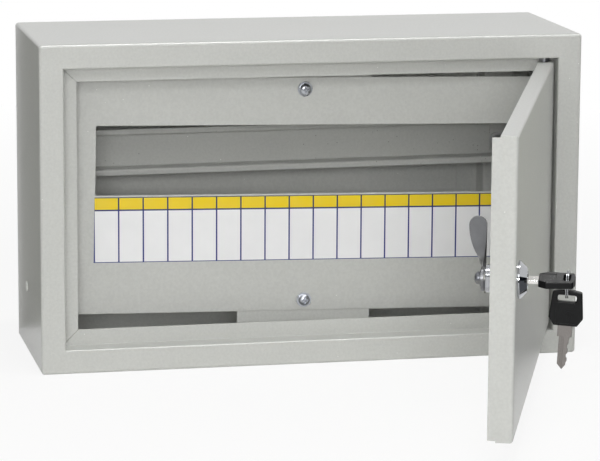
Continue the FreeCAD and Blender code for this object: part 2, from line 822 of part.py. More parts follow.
def make_earth_stud(x, z, floor_y):
    """Threaded stud on a weld pad; floor_y is the sheet it stands on, and it points to the front."""
    return rod_y(stud_pad_radius, x, z, floor_y - stud_pad_height, floor_y).fuse(
        rod_y(stud_radius, x, z, floor_y - stud_length, floor_y)).removeSplitter()


def make_stud_nut(x, z, floor_y):
    """Nut and washer on an earth stud."""
    y1 = floor_y - stud_pad_height
    y0 = y1 - stud_washer_thickness
    return joined([washer(x, z, stud_washer_radius, stud_radius + thread_play, y0, y1),
                   nut(x, z, stud_nut_flats, stud_radius + thread_play, y0 - stud_nut_height, y0)])


def door_stud_place():
    """Place of the door's earth stud on the inner face, (x, z)."""
    return door_right_x - door_stud_from_hinge, -door_half_z + door_stud_from_bottom


def mirrored_in_depth(shape, y):
    """Turns a piece that points to the front so that it points to the back."""
    return shape.mirror(V(0, y, 0), V(0, 1, 0))


def make_side_plug():
    """Small domed blind plug in the left side, with a barb inside."""
    y, wall = front_y + plug_setback, -case_width / 2
    inside = wall + case_sheet
    top = wall - plug_head_height
    bulge = V(wall - plug_head_height * 0.8, y + (plug_head_radius + plug_flat_radius) * 0.58, plug_z)
    dome = Part.Arc(V(wall, y + plug_head_radius, plug_z), bulge,
                    V(top, y + plug_flat_radius, plug_z)).toShape()
    points = [V(top, y + plug_flat_radius, plug_z), V(top, y, plug_z),
              V(inside + plug_barb_height, y, plug_z),
              V(inside + plug_barb_height, y + plug_stem_radius * 0.7, plug_z),
              V(inside, y + plug_barb_radius, plug_z), V(inside, y + plug_stem_radius, plug_z),
              V(wall, y + plug_stem_radius, plug_z), V(wall, y + plug_head_radius, plug_z)]
    sides = [Part.LineSegment(a, b).toShape() for a, b in zip(points, points[1:])]
    return Part.Face(Part.Wire(sides + [dome])).revolve(V(wall, y, plug_z), V(1, 0, 0), 360)


def make_lock_body():
    """Bezel and barrel, bored for the cylinder."""
    bezel = turned_y([(0, front_y), (bezel_radius, front_y), (bezel_radius, front_y - bezel_rim),
                      (bezel_face_radius, bezel_face_y), (0, bezel_face_y)], lock_x, lock_z)
    barrel = barrel_blank(0, front_y, front_y + barrel_length)
    bore = rod_y(cylinder_radius + cylinder_play, lock_x, lock_z, bezel_face_y - 1,
                 front_y + barrel_length + 1)
    return bezel.fuse(barrel).removeSplitter().cut(bore)


def make_lock_nut():
    """Nut that clamps the barrel to the door."""
    y0 = front_y + door_sheet + lock_washer_thickness
    return nut(lock_x, lock_z, lock_nut_flats, barrel_radius + thread_play, y0, y0 + lock_nut_height)


def make_lock_washer():
    """Washer between the lock nut and the door."""
    y0 = front_y + door_sheet
    return washer(lock_x, lock_z, lock_washer_radius, barrel_radius + thread_play, y0,
                  y0 + lock_washer_thickness)


def spindle_end_y():
    """Depth at which the cylinder's square spindle ends: the back of the cam's hub."""
    return front_y + barrel_length + stop_gap + stop_washer_thickness + cam_thickness


def square_y(side, y0, y1):
    """A square prism on the lock axis."""
    half = side / 2
    return box(lock_x - half, lock_x + half, y0, y1, lock_z - half, lock_z + half)


def make_lock_cylinder():
    """Turning core with its keyway, square spindle and tapped end."""
    shoulder = front_y + barrel_length + stop_gap
    core = rod_y(cylinder_radius, lock_x, lock_z, cylinder_face_y, shoulder)
    core = core.fuse(square_y(spindle_side, shoulder, spindle_end_y())).removeSplitter()
    half_w, half_h = keyway_width / 2, keyway_height / 2
    keyway = box(lock_x - half_w, lock_x + half_w, cylinder_face_y - 1,
                 shoulder_y + key_blade_length + key_tip_gap, lock_z - half_h, lock_z + half_h)
    thread = rod_y(cam_screw_radius + thread_play, lock_x, lock_z, spindle_end_y() - cam_screw_tail,
                   spindle_end_y() + 1)
    return core.cut(keyway).cut(thread)


def make_stop_washer():
    """Stop washer with one lug, square-holed to turn with the cylinder."""
    y0 = front_y + barrel_length + stop_gap
    y1 = y0 + stop_washer_thickness
    disc = rod_y(stop_washer_radius, lock_x, lock_z, y0, y1)
    lug = box(lock_x - 2, lock_x + 2, y0, y1, lock_z - stop_washer_radius - 1.6, lock_z)
    return disc.fuse(lug).removeSplitter().cut(square_y(spindle_side + 2 * spindle_play, y0 - 1, y1 + 1))


def paddle_section(height, turn, width, setback):
    """One cross-section of the cam's arm, turned about the lock's radial line."""
    centre = V(lock_x, front_y + setback, lock_z + height)
    angle = math.radians(turn)
    across = V(math.cos(angle), math.sin(angle), 0) * (width / 2)
    through = V(-math.sin(angle), math.cos(angle), 0) * (cam_thickness / 2)
    corners = [centre + across + through, centre - across + through, centre - across - through,
               centre + across - through]
    return Part.makePolygon(corners + corners[:1])


def make_lock_cam():
    """Cam: a square-holed hub whose arm twists into a broad round-tipped paddle."""
    y0 = front_y + barrel_length + stop_gap + stop_washer_thickness
    y1 = y0 + cam_thickness
    hub_middle = y0 + cam_thickness / 2 - front_y
    lean = cam_paddle_centre - hub_middle
    # height above the axis, turn, width and how far the arm has moved over to the paddle
    steps = [(0.05, 0, 1.0, 0.0), (0.20, 14, 0.84, 0.05), (0.33, 34, 0.72, 0.25), (0.46, 56, 0.78, 0.58),
             (0.60, 73, 0.88, 0.85), (0.78, 84, 0.97, 1.0), (1.05, 86, 0.97, 1.0)]
    sections = [paddle_section(cam_reach * h, turn, cam_paddle_width * w, hub_middle + lean * shift)
                for h, turn, w, shift in steps]
    arm = Part.makeLoft(sections, True, False)
    x, middle, half = lock_x - cam_hub_radius, front_y + cam_paddle_centre, cam_paddle_width / 2
    outline = [(V(x, middle - half, lock_z - 1), 0), (V(x, middle - half, lock_z + cam_reach), half),
               (V(x, middle + half, lock_z + cam_reach), half), (V(x, middle + half, lock_z - 1), 0)]
    arm = arm.common(Part.Face(rounded_wire(outline)).extrude(V(2 * cam_hub_radius, 0, 0)))
    arm = arm.cut(rod_y(cam_hub_radius, lock_x, lock_z, y0 - cam_hub_radius, y0))
    arm = arm.cut(rod_y(cam_hub_radius, lock_x, lock_z, y1, y1 + cam_hub_radius))
    hub = rod_y(cam_hub_radius, lock_x, lock_z, y0, y1)
    return hub.fuse(arm).removeSplitter().cut(square_y(spindle_side + 2 * spindle_play, y0 - 1, y1 + 1))


def make_cam_washer():
    """Spring washer under the cam screw."""
    y0 = spindle_end_y()
    return washer(lock_x, lock_z, cam_washer_radius, cam_screw_radius + thread_play, y0,
                  y0 + cam_washer_thickness)


def make_cam_screw():
    """Screw in the end of the spindle that holds the cam."""
    seat = spindle_end_y() + cam_washer_thickness
    forward = pan_screw(lock_x, lock_z, seat, cam_screw_head_radius, cam_screw_head_height, cam_screw_radius,
                        cam_screw_tail - cam_washer_thickness)
    return mirrored_in_depth(forward, seat)


def key_blade():
    """Key blade on its own axes: X to the tip from the bow, Y across, Z through."""
    half, wide = key_blade_width / 2, key_shoulder_width / 2
    shoulder, tip = key_shoulder_length, key_shoulder_length + key_blade_length
    bites = [(0.16, 0.10), (0.30, 0.36), (0.44, 0.16), (0.58, 0.44), (0.70, 0.22), (0.82, 0.40)]
    outline = [(-key_tang, -half), (0, -half), (0, -wide), (shoulder, -wide), (shoulder, -half),
               (tip - key_point, -half), (tip, -half * 0.1), (tip - key_point * 0.7, half * 0.45)]
    for along, depth in reversed(bites):
        x = shoulder + key_blade_length * along
        outline.append((x + 0.8, half * (1 - depth)))
        outline.append((x - 0.8, half * (1 - depth)))
    outline += [(shoulder + 1.0, half), (shoulder, half), (shoulder, wide), (0, wide), (0, half),
                (-key_tang, half)]
    points = [V(x, y, -key_thickness / 2) for x, y in outline]
    blade = Part.Face(Part.makePolygon(points + points[:1])).extrude(V(0, 0, key_thickness))
    groove = box(shoulder, tip + 1, -half * 0.5, -half * 0.1, key_thickness / 2 - 0.5, key_thickness)
    return blade.cut(groove)


def key_bow():
    """Moulded key bow on the same axes, with a ring hole, a bare panel each side and the tang inside."""
    top = -bow_length
    outline = [(V(0, -bow_neck_half, 0), 1.0), (V(-bow_wide_from_neck, -bow_wide_half, 0), 1.0),
               (V(top + 1.2, -bow_top_half, 0), 1.6), (V(top, -bow_top_half * 0.3, 0), 8.0),
               (V(top, bow_top_half * 0.3, 0), 8.0), (V(top + 1.2, bow_top_half, 0), 1.6),
               (V(-bow_wide_from_neck, bow_wide_half, 0), 1.0), (V(0, bow_neck_half, 0), 1.0)]
    bow = Part.Face(rounded_wire(outline)).extrude(V(0, 0, bow_thickness))
    bow.translate(V(0, 0, -bow_thickness / 2))
    hole_x = top + bow_hole_from_top
    half_w, half_h = bow_hole_width / 2, bow_hole_height / 2
    hole = box(hole_x - half_h, hole_x + half_h, -half_w, half_w, -bow_thickness, bow_thickness)
    hole = hole.makeFillet(bow_hole_corner, [e for e in hole.Edges if runs_along(e, 2)])
    bow = bow.cut(hole)
    faces = [e for e in bow.Edges if abs(abs(e.CenterOfMass.z) - bow_thickness / 2) < 1e-6
             and e.BoundBox.ZLength < 1e-6]
    bow = bow.makeFillet(bow_edge, faces)
    x1 = -bow_panel_from_neck
    for z in (-bow_thickness / 2, bow_thickness / 2 - bow_panel_depth):
        bow = bow.cut(box(x1 - bow_panel_length, x1, -bow_panel_width / 2, bow_panel_width / 2, z,
                          z + bow_panel_depth))
    half_t = key_thickness / 2
    return bow.cut(box(-key_tang, 1, -key_blade_width / 2, key_blade_width / 2, -half_t, half_t))


def placed(shape, origin, x_axis, y_axis):
    """Sets a key piece with its own X and Y along two directions."""
    moved = shape.copy()
    moved.Placement = FreeCAD.Placement(origin, FreeCAD.Rotation(x_axis, y_axis, x_axis.cross(y_axis), "XYZ"))
    return moved


def lock_key(shape):
    """Puts a key piece in the lock: the blade goes in along +Y and lies flat."""
    return placed(shape, V(lock_x, bow_neck_y, lock_z), V(0, 1, 0), V(1, 0, 0))


def spare_key(shape):
    """Hangs a key piece from the ring, blade down and face to the side."""
    neck_z = spare_hole_top_z + bow_hole_height / 2 - bow_hole_height - (bow_length - bow_hole_from_top)
    hung = placed(shape, V(ring_x, ring_y, neck_z), V(0, 0, -1), V(0, -1, 0))
    hung.rotate(V(ring_x, ring_y, ring_z - ring_radius), V(1, 0, 0), spare_tilt)
    return hung


def make_key_ring():
    """Ring through the hole of the key in the lock and the hole of the spare."""
    return Part.makeTorus(ring_radius, ring_wire, V(ring_x, ring_y, ring_z), V(0, 1, 0))


NODES = {
    "case_shell": make_case_shell,
    "back_panel": make_back_panel,
    "hinge_pin_top": lambda: make_hinge_pin(1),
    "hinge_pin_bottom": lambda: make_hinge_pin(-1),
    "side_plug": make_side_plug,
    "cover_bracket_top": lambda: make_cover_bracket(1),
    "cover_bracket_bottom": lambda: make_cover_bracket(-1),
    "inner_cover": make_inner_cover,
    "marking_strip": make_marking_strip,
    "cover_screws": make_cover_screws,
    "cover_washers": make_cover_washers,
    "cover_nuts": make_cover_nuts,
    "upright_left": lambda: make_upright(-1),
    "upright_right": lambda: make_upright(1),
    "rail_standoff_left": lambda: make_standoff(-1),
    "rail_standoff_right": lambda: make_standoff(1),
    "standoff_screws": make_standoff_screws,
    "standoff_nuts": make_standoff_nuts,
    "mounting_rail": make_mounting_rail,
    "rail_screws": make_rail_screws,
    "rail_plates": make_rail_plates,
    "rail_washers": make_rail_washers,
    "rail_nuts": make_rail_nuts,
    "neutral_bar": lambda: make_terminal_bar(bar_z),
    "neutral_bar_screws": lambda: make_terminal_screws(bar_z),
    "neutral_bar_holders": lambda: make_bar_holders(bar_z),
    "earth_bar": lambda: make_terminal_bar(-bar_z),
    "earth_bar_screws": lambda: make_terminal_screws(-bar_z),
    "earth_bar_holders": lambda: make_bar_holders(-bar_z),
    "holder_screws": make_holder_screws,
    "case_earth_stud": lambda: make_earth_stud(case_stud_x, case_stud_z, -case_sheet),
    "case_earth_nut": lambda: make_stud_nut(case_stud_x, case_stud_z, -case_sheet),
    "door_panel": lambda: swung(make_door_panel()),
    "door_earth_stud": lambda: swung(door_stud(make_earth_stud)),
    "door_earth_nut": lambda: swung(door_stud(make_stud_nut)),
    "lock_body": lambda: swung(make_lock_body()),
    "lock_washer": lambda: swung(make_lock_washer()),
    "lock_nut": lambda: swung(make_lock_nut()),
    "lock_cylinder": lambda: swung(keyed(make_lock_cylinder())),
    "lock_stop_washer": lambda: swung(keyed(make_stop_washer())),
    "lock_cam": lambda: swung(keyed(make_lock_cam())),
    "cam_washer": lambda: swung(keyed(make_cam_washer())),
    "cam_screw": lambda: swung(keyed(make_cam_screw())),
    "key_blade": lambda: swung(keyed(lock_key(key_blade()))),
    "key_bow": lambda: swung(keyed(lock_key(key_bow()))),
    "key_ring": lambda: swung(make_key_ring()),
    "spare_key_blade": lambda: swung(spare_key(key_blade())),
    "spare_key_bow": lambda: swung(spare_key(key_bow())),
}


def door_stud(make):
    """Builds a stud piece on the inside of the shut door, where it points to the back."""
    x, z = door_stud_place()
    floor = front_y + door_sheet
    return mirrored_in_depth(make(x, z, floor), floor)


def main():
    """Writes one STEP file for each node."""
    os.makedirs("parts", exist_ok=True)
    for name, make in NODES.items():
        shape = make()
        solids = shape.Solids
        if not shape.isValid() or not solids:
            raise RuntimeError(name + " isn't a valid solid")
        shape.exportStep("parts/" + name + ".step")
        print(name, len(solids), "solids,", round(shape.Volume), "mm3")


main()
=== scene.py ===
import json
import math

import bmesh
import bpy
from bpy.props import FloatProperty, FloatVectorProperty, IntProperty, PointerProperty
from mathutils import Matrix, Vector


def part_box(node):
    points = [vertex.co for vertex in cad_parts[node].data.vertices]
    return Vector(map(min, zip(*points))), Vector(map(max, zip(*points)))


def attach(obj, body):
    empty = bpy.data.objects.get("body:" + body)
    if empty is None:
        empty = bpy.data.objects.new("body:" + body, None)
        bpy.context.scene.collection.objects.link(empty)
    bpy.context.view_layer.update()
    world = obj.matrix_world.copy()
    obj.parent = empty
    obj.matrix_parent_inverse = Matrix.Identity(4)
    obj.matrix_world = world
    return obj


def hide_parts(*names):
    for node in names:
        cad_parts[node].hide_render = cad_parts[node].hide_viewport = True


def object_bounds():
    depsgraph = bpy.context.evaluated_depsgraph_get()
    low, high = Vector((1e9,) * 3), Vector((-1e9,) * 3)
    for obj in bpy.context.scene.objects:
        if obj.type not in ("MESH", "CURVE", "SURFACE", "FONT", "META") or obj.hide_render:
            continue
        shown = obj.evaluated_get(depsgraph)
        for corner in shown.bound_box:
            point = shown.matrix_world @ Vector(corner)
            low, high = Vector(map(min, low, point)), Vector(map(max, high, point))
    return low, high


bl_info = {
    "name": "Steel wall enclosure finish",
    "version": (1, 0, 0),
    "blender": (4, 5, 0),
    "location": "3D View > Sidebar > Enclosure",
    "description": "Paint, plating, print, threads, lock, keys and studio of a sheet-steel wall enclosure",
    "category": "Object",
}

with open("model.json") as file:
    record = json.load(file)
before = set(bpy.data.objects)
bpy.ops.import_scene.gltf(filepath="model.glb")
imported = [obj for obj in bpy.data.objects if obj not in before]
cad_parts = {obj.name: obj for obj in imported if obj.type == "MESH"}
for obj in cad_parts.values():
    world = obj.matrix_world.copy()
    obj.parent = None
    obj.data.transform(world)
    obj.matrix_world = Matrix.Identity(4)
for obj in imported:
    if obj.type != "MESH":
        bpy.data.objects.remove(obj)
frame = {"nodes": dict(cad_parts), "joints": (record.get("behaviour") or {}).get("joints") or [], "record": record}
CAD_LOW, CAD_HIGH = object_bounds()
RECORD = frame["record"]
BODY_OF = {node: body for body, nodes in RECORD["behaviour"]["bodies"].items() for node in nodes}
SLOT_OF = {part["node"]: part["material_slot"] for part in RECORD["subparts"]}
JOINT = {joint["name"]: joint for joint in frame["joints"]}
MM = 0.001
# The way from the door's outer face to its inner one, along the lock
INTO_DOOR = -Vector(JOINT["lock_turn"]["axis"])

# Camera, measured in the photograph's frame of 600 by 461 pixels
PHOTO_WIDTH = 600
FOCAL_PIXELS = 3130.0
SENSOR_WIDTH = 36.0
CAMERA_MM = (-489.08, -2358.67, 412.96)
CAMERA_YAW = 12.15
CAMERA_PITCH = -10.79
CAMERA_ROLL = 0.33

# Shanks that carry a wound thread
SCREW_RADIUS = 2.45 * MM
SCREW_PITCH = 0.8 * MM
STUD_RADIUS = 3.0 * MM
STUD_PITCH = 1.0 * MM
BARREL_RADIUS = 9.0 * MM
BARREL_HALF_FLATS = 8.2 * MM
BARREL_PITCH = 1.0 * MM
# A thread's ridge: its width as a share of the pitch, and its sink and rounding as shares of the width
RIDGE_WIDTH = 0.55
RIDGE_SINK = 0.12
RIDGE_ROUNDING = 0.3
# Straight steps in one turn of a ridge, and how far it stays under the barrel's flats
THREAD_STEPS = 28
FLAT_PLAY = 0.05 * MM

# Edge rounding of the unpainted pieces
PLUG_ROUND = 0.1 * MM
FASTENER_ROUND = 0.12 * MM
METAL_ROUND = 0.15 * MM
BOW_ROUND = 0.22 * MM

# Spot welds of the uprights
UPRIGHT_SHEET = 1.2 * MM
WELDS_IN_ROW = 6
WELD_STEP = 38 * MM
WELD_RADIUS = 2.6 * MM
WELD_RISE = 0.2 * MM
WELD_INSET = 7 * MM
WELD_FIRST = 17 * MM

# Split ring: its flattened wire, whose height and rounding are shares of the height of one turn
RING_WIRE = 1.7 * MM
RING_TURN_HEIGHT = 1.15 * MM
RING_FLATNESS = 0.62
RING_ROUNDING = 0.25
RING_STEPS = 64

# Real sizes of the patterns in the finishes
PEEL_DEPTH = 0.12 * MM
# Pale specks of the coat, which are painted glints
GLINT_SPACING = 6.5 * MM
GLINT_RADIUS = 0.24 * MM
GLINT_SHARE = 0.16
DUST_SPACING = 3.2 * MM
DUST_RADIUS = 0.3 * MM
DUST_DRIFT = 60 * MM
METAL_CLOUD = 6 * MM
METAL_GRAIN_DEPTH = 0.02 * MM
SPARK_GRAIN = 0.5 * MM
SPARK_DEPTH = 0.03 * MM
HANDLED_PATCH = 7 * MM
FILM_CLOUD = 14 * MM
CLOTH_NAP = 20 * MM
# How far a metal's or a plastic's roughness strays from its typical value
SMOOTHEST = 0.85
ROUGHEST = 1.2

# Sockets of a Mix node that blends two colours, by number because they share their names
MIX_BY, MIX_FROM, MIX_TO, MIXED = 0, 6, 7, 2

# Floor, in metres: how far it reaches, how far under the case it lies, and its soft patches
FLOOR_REACH = 12.0
FLOOR_GAP = 0.05 * MM
FLOOR_CLOUD = 0.5
# Distances between which the floor fades to white, and the share of white that it has at the case
FADE_FROM = 0.3
FADE_TO = 1.2
WHITE_AT_CASE = 0.87
# What the lights and cards face
AIM = (0.0, -0.12, 0.0)


def linear(hex_colour):
    """An sRGB hex colour as linear red, green, blue and alpha."""
    channels = [int(hex_colour[i:i + 2], 16) / 255 for i in (0, 2, 4)]
    return [c / 12.92 if c <= 0.04045 else ((c + 0.055) / 1.055) ** 2.4 for c in channels] + [1.0]


def toned(colour, factor):
    """A colour with its red, green and blue multiplied."""
    return [c * factor for c in colour[:3]] + [1.0]


def colour_property(name, hex_colour, description):
    """A colour that a user may change, given as sRGB hex."""
    return FloatVectorProperty(name=name, description=description, subtype="COLOR", size=4,
                               min=0.0, max=1.0, default=linear(hex_colour))


def length_property(name, metres, description):
    """A length in metres."""
    return FloatProperty(name=name, description=description, default=metres, min=0.0, unit="LENGTH",
                         subtype="DISTANCE", precision=5)


class PaintSettings(bpy.types.PropertyGroup):
    outside: colour_property("Outside", "C6C7C3", "Powder coat of the case, door and cover")
    # the inner coat is paler than the outer one: painted light that brightens the pieces in the cover's shade
    inside: colour_property("Inside", "CFD0CC", "Powder coat of the pieces behind the cover")
    # the rail's coat is darker than the inner coat: painted shade
    rail: colour_property("Rail", "B7B8B4", "Powder coat of the mounting rail")
    # the specks are painted glints: pale dots that stand in for light caught by the coat
    speck: colour_property("Speck", "EDEEEA", "Dry grains of powder in the coat")
    soil: colour_property("Soil", "5E5D55", "Dust specks that were baked into the coat")
    peel: length_property("Orange peel", 1.9 * MM, "Width of one bump of the coat")
    mottle: length_property("Mottle", 38 * MM, "Width of the soft patches in the coat")
    edge_round: length_property("Edge rounding", 0.22 * MM, "Radius that paint gives a cut edge")


class StripSettings(bpy.types.PropertyGroup):
    header: colour_property("Header", "EFCF0A", "Yellow band over the cells")
    cell: colour_property("Cell", "EFEFF0", "Film of the cells")
    ink: colour_property("Ink", "142878", "Printed lines round the cells")
    header_ink: colour_property("Header ink", "2C375E", "Printed lines on the yellow band")
    cell_border: colour_property("Cell border", "F4F4F2", "Paler border inside a cell")
    header_border: colour_property("Header border", "F6DC30", "Paler border inside the yellow band")
    haze: colour_property("Haze", "B9B9BC", "Faint cloudiness of the film")
    cells: IntProperty(name="Cells", description="Number of cells in the strip", default=17, min=1)
    header_height: length_property("Header height", 9.7 * MM, "Height of the yellow band")
    line_width: length_property("Line width", 1.2 * MM, "Width of the printed lines")
    border_width: length_property("Border width", 0.8 * MM, "Width of the paler border inside the lines")


class MetalSettings(bpy.types.PropertyGroup):
    bright_zinc: colour_property("Bright zinc", "BBBEC3", "Bright zinc plating of the other screws")
    dull_zinc: colour_property("Dull zinc", "6C6E72", "Dull zinc plating of nuts, studs and stand-offs")
    washer: colour_property("Matt zinc", "C4C5C4", "Matt zinc plating of the rail's screws and washers")
    chrome: colour_property("Chrome", "B0B2B5", "Chrome plating of the lock")
    cam: colour_property("Cam", "7D7E80", "Zinc plating of the lock's cam")
    # the two blades are one nickel silver: the pale colour is painted light and the dark one painted shade
    nickel: colour_property("Nickel silver", "F0EEEB", "Metal of the key blade in the lock")
    shaded_nickel: colour_property("Worn nickel silver", "86827F", "Metal of the spare key's blade")
    brass: colour_property("Brass", "C9A659", "Metal of the terminal bars")


class KeySettings(bpy.types.PropertyGroup):
    bow: colour_property("Bow", "060708", "Black plastic of the key bows")
    ring_turns: FloatProperty(name="Ring turns", description="Turns of wire in the split ring",
                              default=1.94, min=1.1, max=3.0)


class StageSettings(bpy.types.PropertyGroup):
    floor: colour_property("Floor", "F0F0EE", "Floor under the case")
    key_watts: FloatProperty(name="Key light", description="Power of the broad low front light",
                             default=18.5, min=0.0, unit="POWER")
    high_watts: FloatProperty(name="High light", description="Power of the soft light high in front",
                              default=8.5, min=0.0, unit="POWER")
    top_watts: FloatProperty(name="Top light", description="Power of the light above", default=12.5,
                             min=0.0, unit="POWER")
    ambient: FloatProperty(name="Ambient", description="Strength of the even light from all round",
                           default=0.28, min=0.0)
    edge_gloss: FloatProperty(name="Edge gloss", default=22.0, min=0.0,
                              description="Strength of the strip that bends and edges mirror")
    card: colour_property("Card", "15181E", "Dark cards that draw bands in the bright metal")


def settings(name):
    """One of this file's property groups on the scene."""
    return getattr(bpy.context.scene, "enclosure_" + name)


def add_node(tree, kind, inputs=None, output=0, **values):
    """Adds a node and returns one of its outputs, or all of them where output is None.

    inputs says what each socket is linked or set to, and values holds the node's own settings.
    """
    node = tree.nodes.new(kind)
    for name, value in values.items():
        setattr(node, name, value)
    for name, value in (inputs or {}).items():
        if isinstance(value, bpy.types.NodeSocket):
            tree.links.new(value, node.inputs[name])
        else:
            node.inputs[name].default_value = value
    return node.outputs if output is None else node.outputs[output]


def new_material(name):
    """An empty material with its tree and its Object coordinates."""
    material = bpy.data.materials.new(name)
    material.use_nodes = True
    tree = material.node_tree
    tree.nodes.clear()
    return material, tree, add_node(tree, "ShaderNodeTexCoord", output="Object")


def scattered(tree, place, spacing, radius, share):
    """1 inside round specks that stand in a share of the cells of a loose grid in space, else 0."""
    faded = radius * 1.7
    cells = add_node(tree, "ShaderNodeTexVoronoi", {"Vector": place, "Scale": 1.0 / spacing}, None)
    inside = add_node(tree, "ShaderNodeMapRange", {
        "Value": cells["Distance"], "From Min": radius / spacing, "From Max": faded / spacing,
        "To Min": 1.0, "To Max": 0.0})
    chance = add_node(tree, "ShaderNodeSeparateColor", {"Color": cells["Color"]})
    chosen = add_node(tree, "ShaderNodeMath", {0: chance, 1: 1.0 - share}, operation="GREATER_THAN")
    return add_node(tree, "ShaderNodeMath", {0: inside, 1: chosen}, operation="MULTIPLY")


def powder_coat(name, colour, soiled=0.0):
    """Polyester powder coat, sprayed dry and baked: an even, half-gloss skin with fine orange peel."""
    paint = settings("paint")
    material, tree, place = new_material(name)
    patches = add_node(tree, "ShaderNodeTexNoise", {
        "Vector": place, "Scale": 1.0 / paint.mottle, "Detail": 3.0})
    grain = add_node(tree, "ShaderNodeTexNoise", {
        "Vector": place, "Scale": 1.0 / paint.peel, "Detail": 2.0})
    # the coat is a little darker in soft patches, and painted shade darkens it along the bumps of its peel
    full = add_node(tree, "ShaderNodeMapRange", {"Value": patches, "From Min": 0.3, "From Max": 0.7})
    shade = add_node(tree, "ShaderNodeMix", {
        MIX_BY: full, MIX_FROM: toned(colour, 0.985), MIX_TO: colour}, MIXED, data_type="RGBA")
    peel_shade = add_node(tree, "ShaderNodeMapRange", {
        "Value": grain, "From Min": 0.34, "From Max": 0.66, "To Max": 0.22})
    shade = add_node(tree, "ShaderNodeMix", {
        MIX_BY: peel_shade, MIX_FROM: shade, MIX_TO: toned(colour, 0.7)}, MIXED, data_type="RGBA")
    # pale specks, painted glints of the coat, of which the surface cuts about one in each square of 50 mm
    painted_glints = scattered(tree, place, GLINT_SPACING, GLINT_RADIUS, GLINT_SHARE)
    shade = add_node(tree, "ShaderNodeMix", {
        MIX_BY: painted_glints, MIX_FROM: shade, MIX_TO: list(paint.speck)}, MIXED, data_type="RGBA")
    if soiled:
        # dust lies in drifts, so its specks stand only where a slow noise is high
        slow = add_node(tree, "ShaderNodeTexNoise", {
            "Vector": place, "Scale": 1.0 / DUST_DRIFT, "Detail": 1.0})
        drift = add_node(tree, "ShaderNodeMapRange", {"Value": slow, "From Min": 0.56, "From Max": 0.6})
        specks = scattered(tree, place, DUST_SPACING, DUST_RADIUS, soiled)
        dust = add_node(tree, "ShaderNodeMath", {0: specks, 1: drift}, operation="MULTIPLY")
        thin = add_node(tree, "ShaderNodeMath", {0: dust, 1: 0.7}, operation="MULTIPLY")
        shade = add_node(tree, "ShaderNodeMix", {
            MIX_BY: thin, MIX_FROM: shade, MIX_TO: list(paint.soil)}, MIXED, data_type="RGBA")
    peel = add_node(tree, "ShaderNodeTexNoise", {
        "Vector": place, "Scale": 1.0 / paint.peel, "Detail": 3.0})
    bump = add_node(tree, "ShaderNodeBump", {"Height": peel, "Strength": 1.0, "Distance": PEEL_DEPTH})
    rough = add_node(tree, "ShaderNodeMapRange", {
        "Value": patches, "From Min": 0.25, "From Max": 0.75, "To Min": 0.29, "To Max": 0.31})
    shader = add_node(tree, "ShaderNodeBsdfPrincipled", {
        "Base Color": shade, "Roughness": rough, "IOR": 1.5, "Normal": bump})
    add_node(tree, "ShaderNodeOutputMaterial", {"Surface": shader}, None)
    return material


def plated_metal(name, colour, roughness, variation=0.12, feature=1.5 * MM, stretch=None, tint=None):
    """Plated or bare metal: a mirror dulled by its grain, with a slightly uneven colour.

    stretch scales the grain's coordinates, so a value under 1 draws it out along that axis.
    """
    material, tree, place = new_material(name)
    drawn = add_node(tree, "ShaderNodeMapping", {"Vector": place, "Scale": stretch}) if stretch else place
    streak = add_node(tree, "ShaderNodeTexNoise", {"Vector": drawn, "Scale": 1.0 / feature, "Detail": 4.0})
    cloud = add_node(tree, "ShaderNodeTexNoise", {
        "Vector": place, "Scale": 1.0 / METAL_CLOUD, "Detail": 2.0})
    uneven = add_node(tree, "ShaderNodeMapRange", {
        "Value": streak, "From Min": 0.3, "From Max": 0.7, "To Max": variation})
    shade = add_node(tree, "ShaderNodeMix", {
        MIX_BY: uneven, MIX_FROM: colour, MIX_TO: toned(colour, 0.45)}, MIXED, data_type="RGBA")
    if tint:
        tinted = add_node(tree, "ShaderNodeMapRange", {
            "Value": cloud, "From Min": 0.45, "From Max": 0.7, "To Max": 0.35})
        shade = add_node(tree, "ShaderNodeMix", {
            MIX_BY: tinted, MIX_FROM: shade, MIX_TO: linear(tint)}, MIXED, data_type="RGBA")
    bump = add_node(tree, "ShaderNodeBump", {
        "Height": streak, "Strength": 0.12, "Distance": METAL_GRAIN_DEPTH})
    rough = add_node(tree, "ShaderNodeMapRange", {
        "Value": cloud, "From Min": 0.3, "From Max": 0.7,
        "To Min": roughness * SMOOTHEST, "To Max": roughness * ROUGHEST})
    shader = add_node(tree, "ShaderNodeBsdfPrincipled", {
        "Base Color": shade, "Metallic": 1.0, "Normal": bump, "Roughness": rough})
    add_node(tree, "ShaderNodeOutputMaterial", {"Surface": shader}, None)
    return material


def moulded_plastic(name, colour, roughness):
    """Injection-moulded plastic: one colour right through, with the fine spark grain of its mould."""
    material, tree, place = new_material(name)
    fine = add_node(tree, "ShaderNodeTexNoise", {
        "Vector": place, "Scale": 1.0 / SPARK_GRAIN, "Detail": 2.0})
    handled = add_node(tree, "ShaderNodeTexNoise", {
        "Vector": place, "Scale": 1.0 / HANDLED_PATCH, "Detail": 2.0})
    # handling leaves a slightly paler bloom
    paler = [min(1.0, c * 1.5 + 0.002) for c in colour[:3]] + [1.0]
    bloom = add_node(tree, "ShaderNodeMapRange", {
        "Value": handled, "From Min": 0.35, "From Max": 0.7, "To Max": 0.25})
    shade = add_node(tree, "ShaderNodeMix", {
        MIX_BY: bloom, MIX_FROM: colour, MIX_TO: paler}, MIXED, data_type="RGBA")
    bump = add_node(tree, "ShaderNodeBump", {"Height": fine, "Strength": 0.12, "Distance": SPARK_DEPTH})
    rough = add_node(tree, "ShaderNodeMapRange", {
        "Value": handled, "From Min": 0.3, "From Max": 0.7,
        "To Min": roughness * SMOOTHEST, "To Max": roughness * ROUGHEST})
    shader = add_node(tree, "ShaderNodeBsdfPrincipled", {
        "Base Color": shade, "IOR": 1.53, "Specular IOR Level": 0.22, "Normal": bump, "Roughness": rough})
    add_node(tree, "ShaderNodeOutputMaterial", {"Surface": shader}, None)
    return material


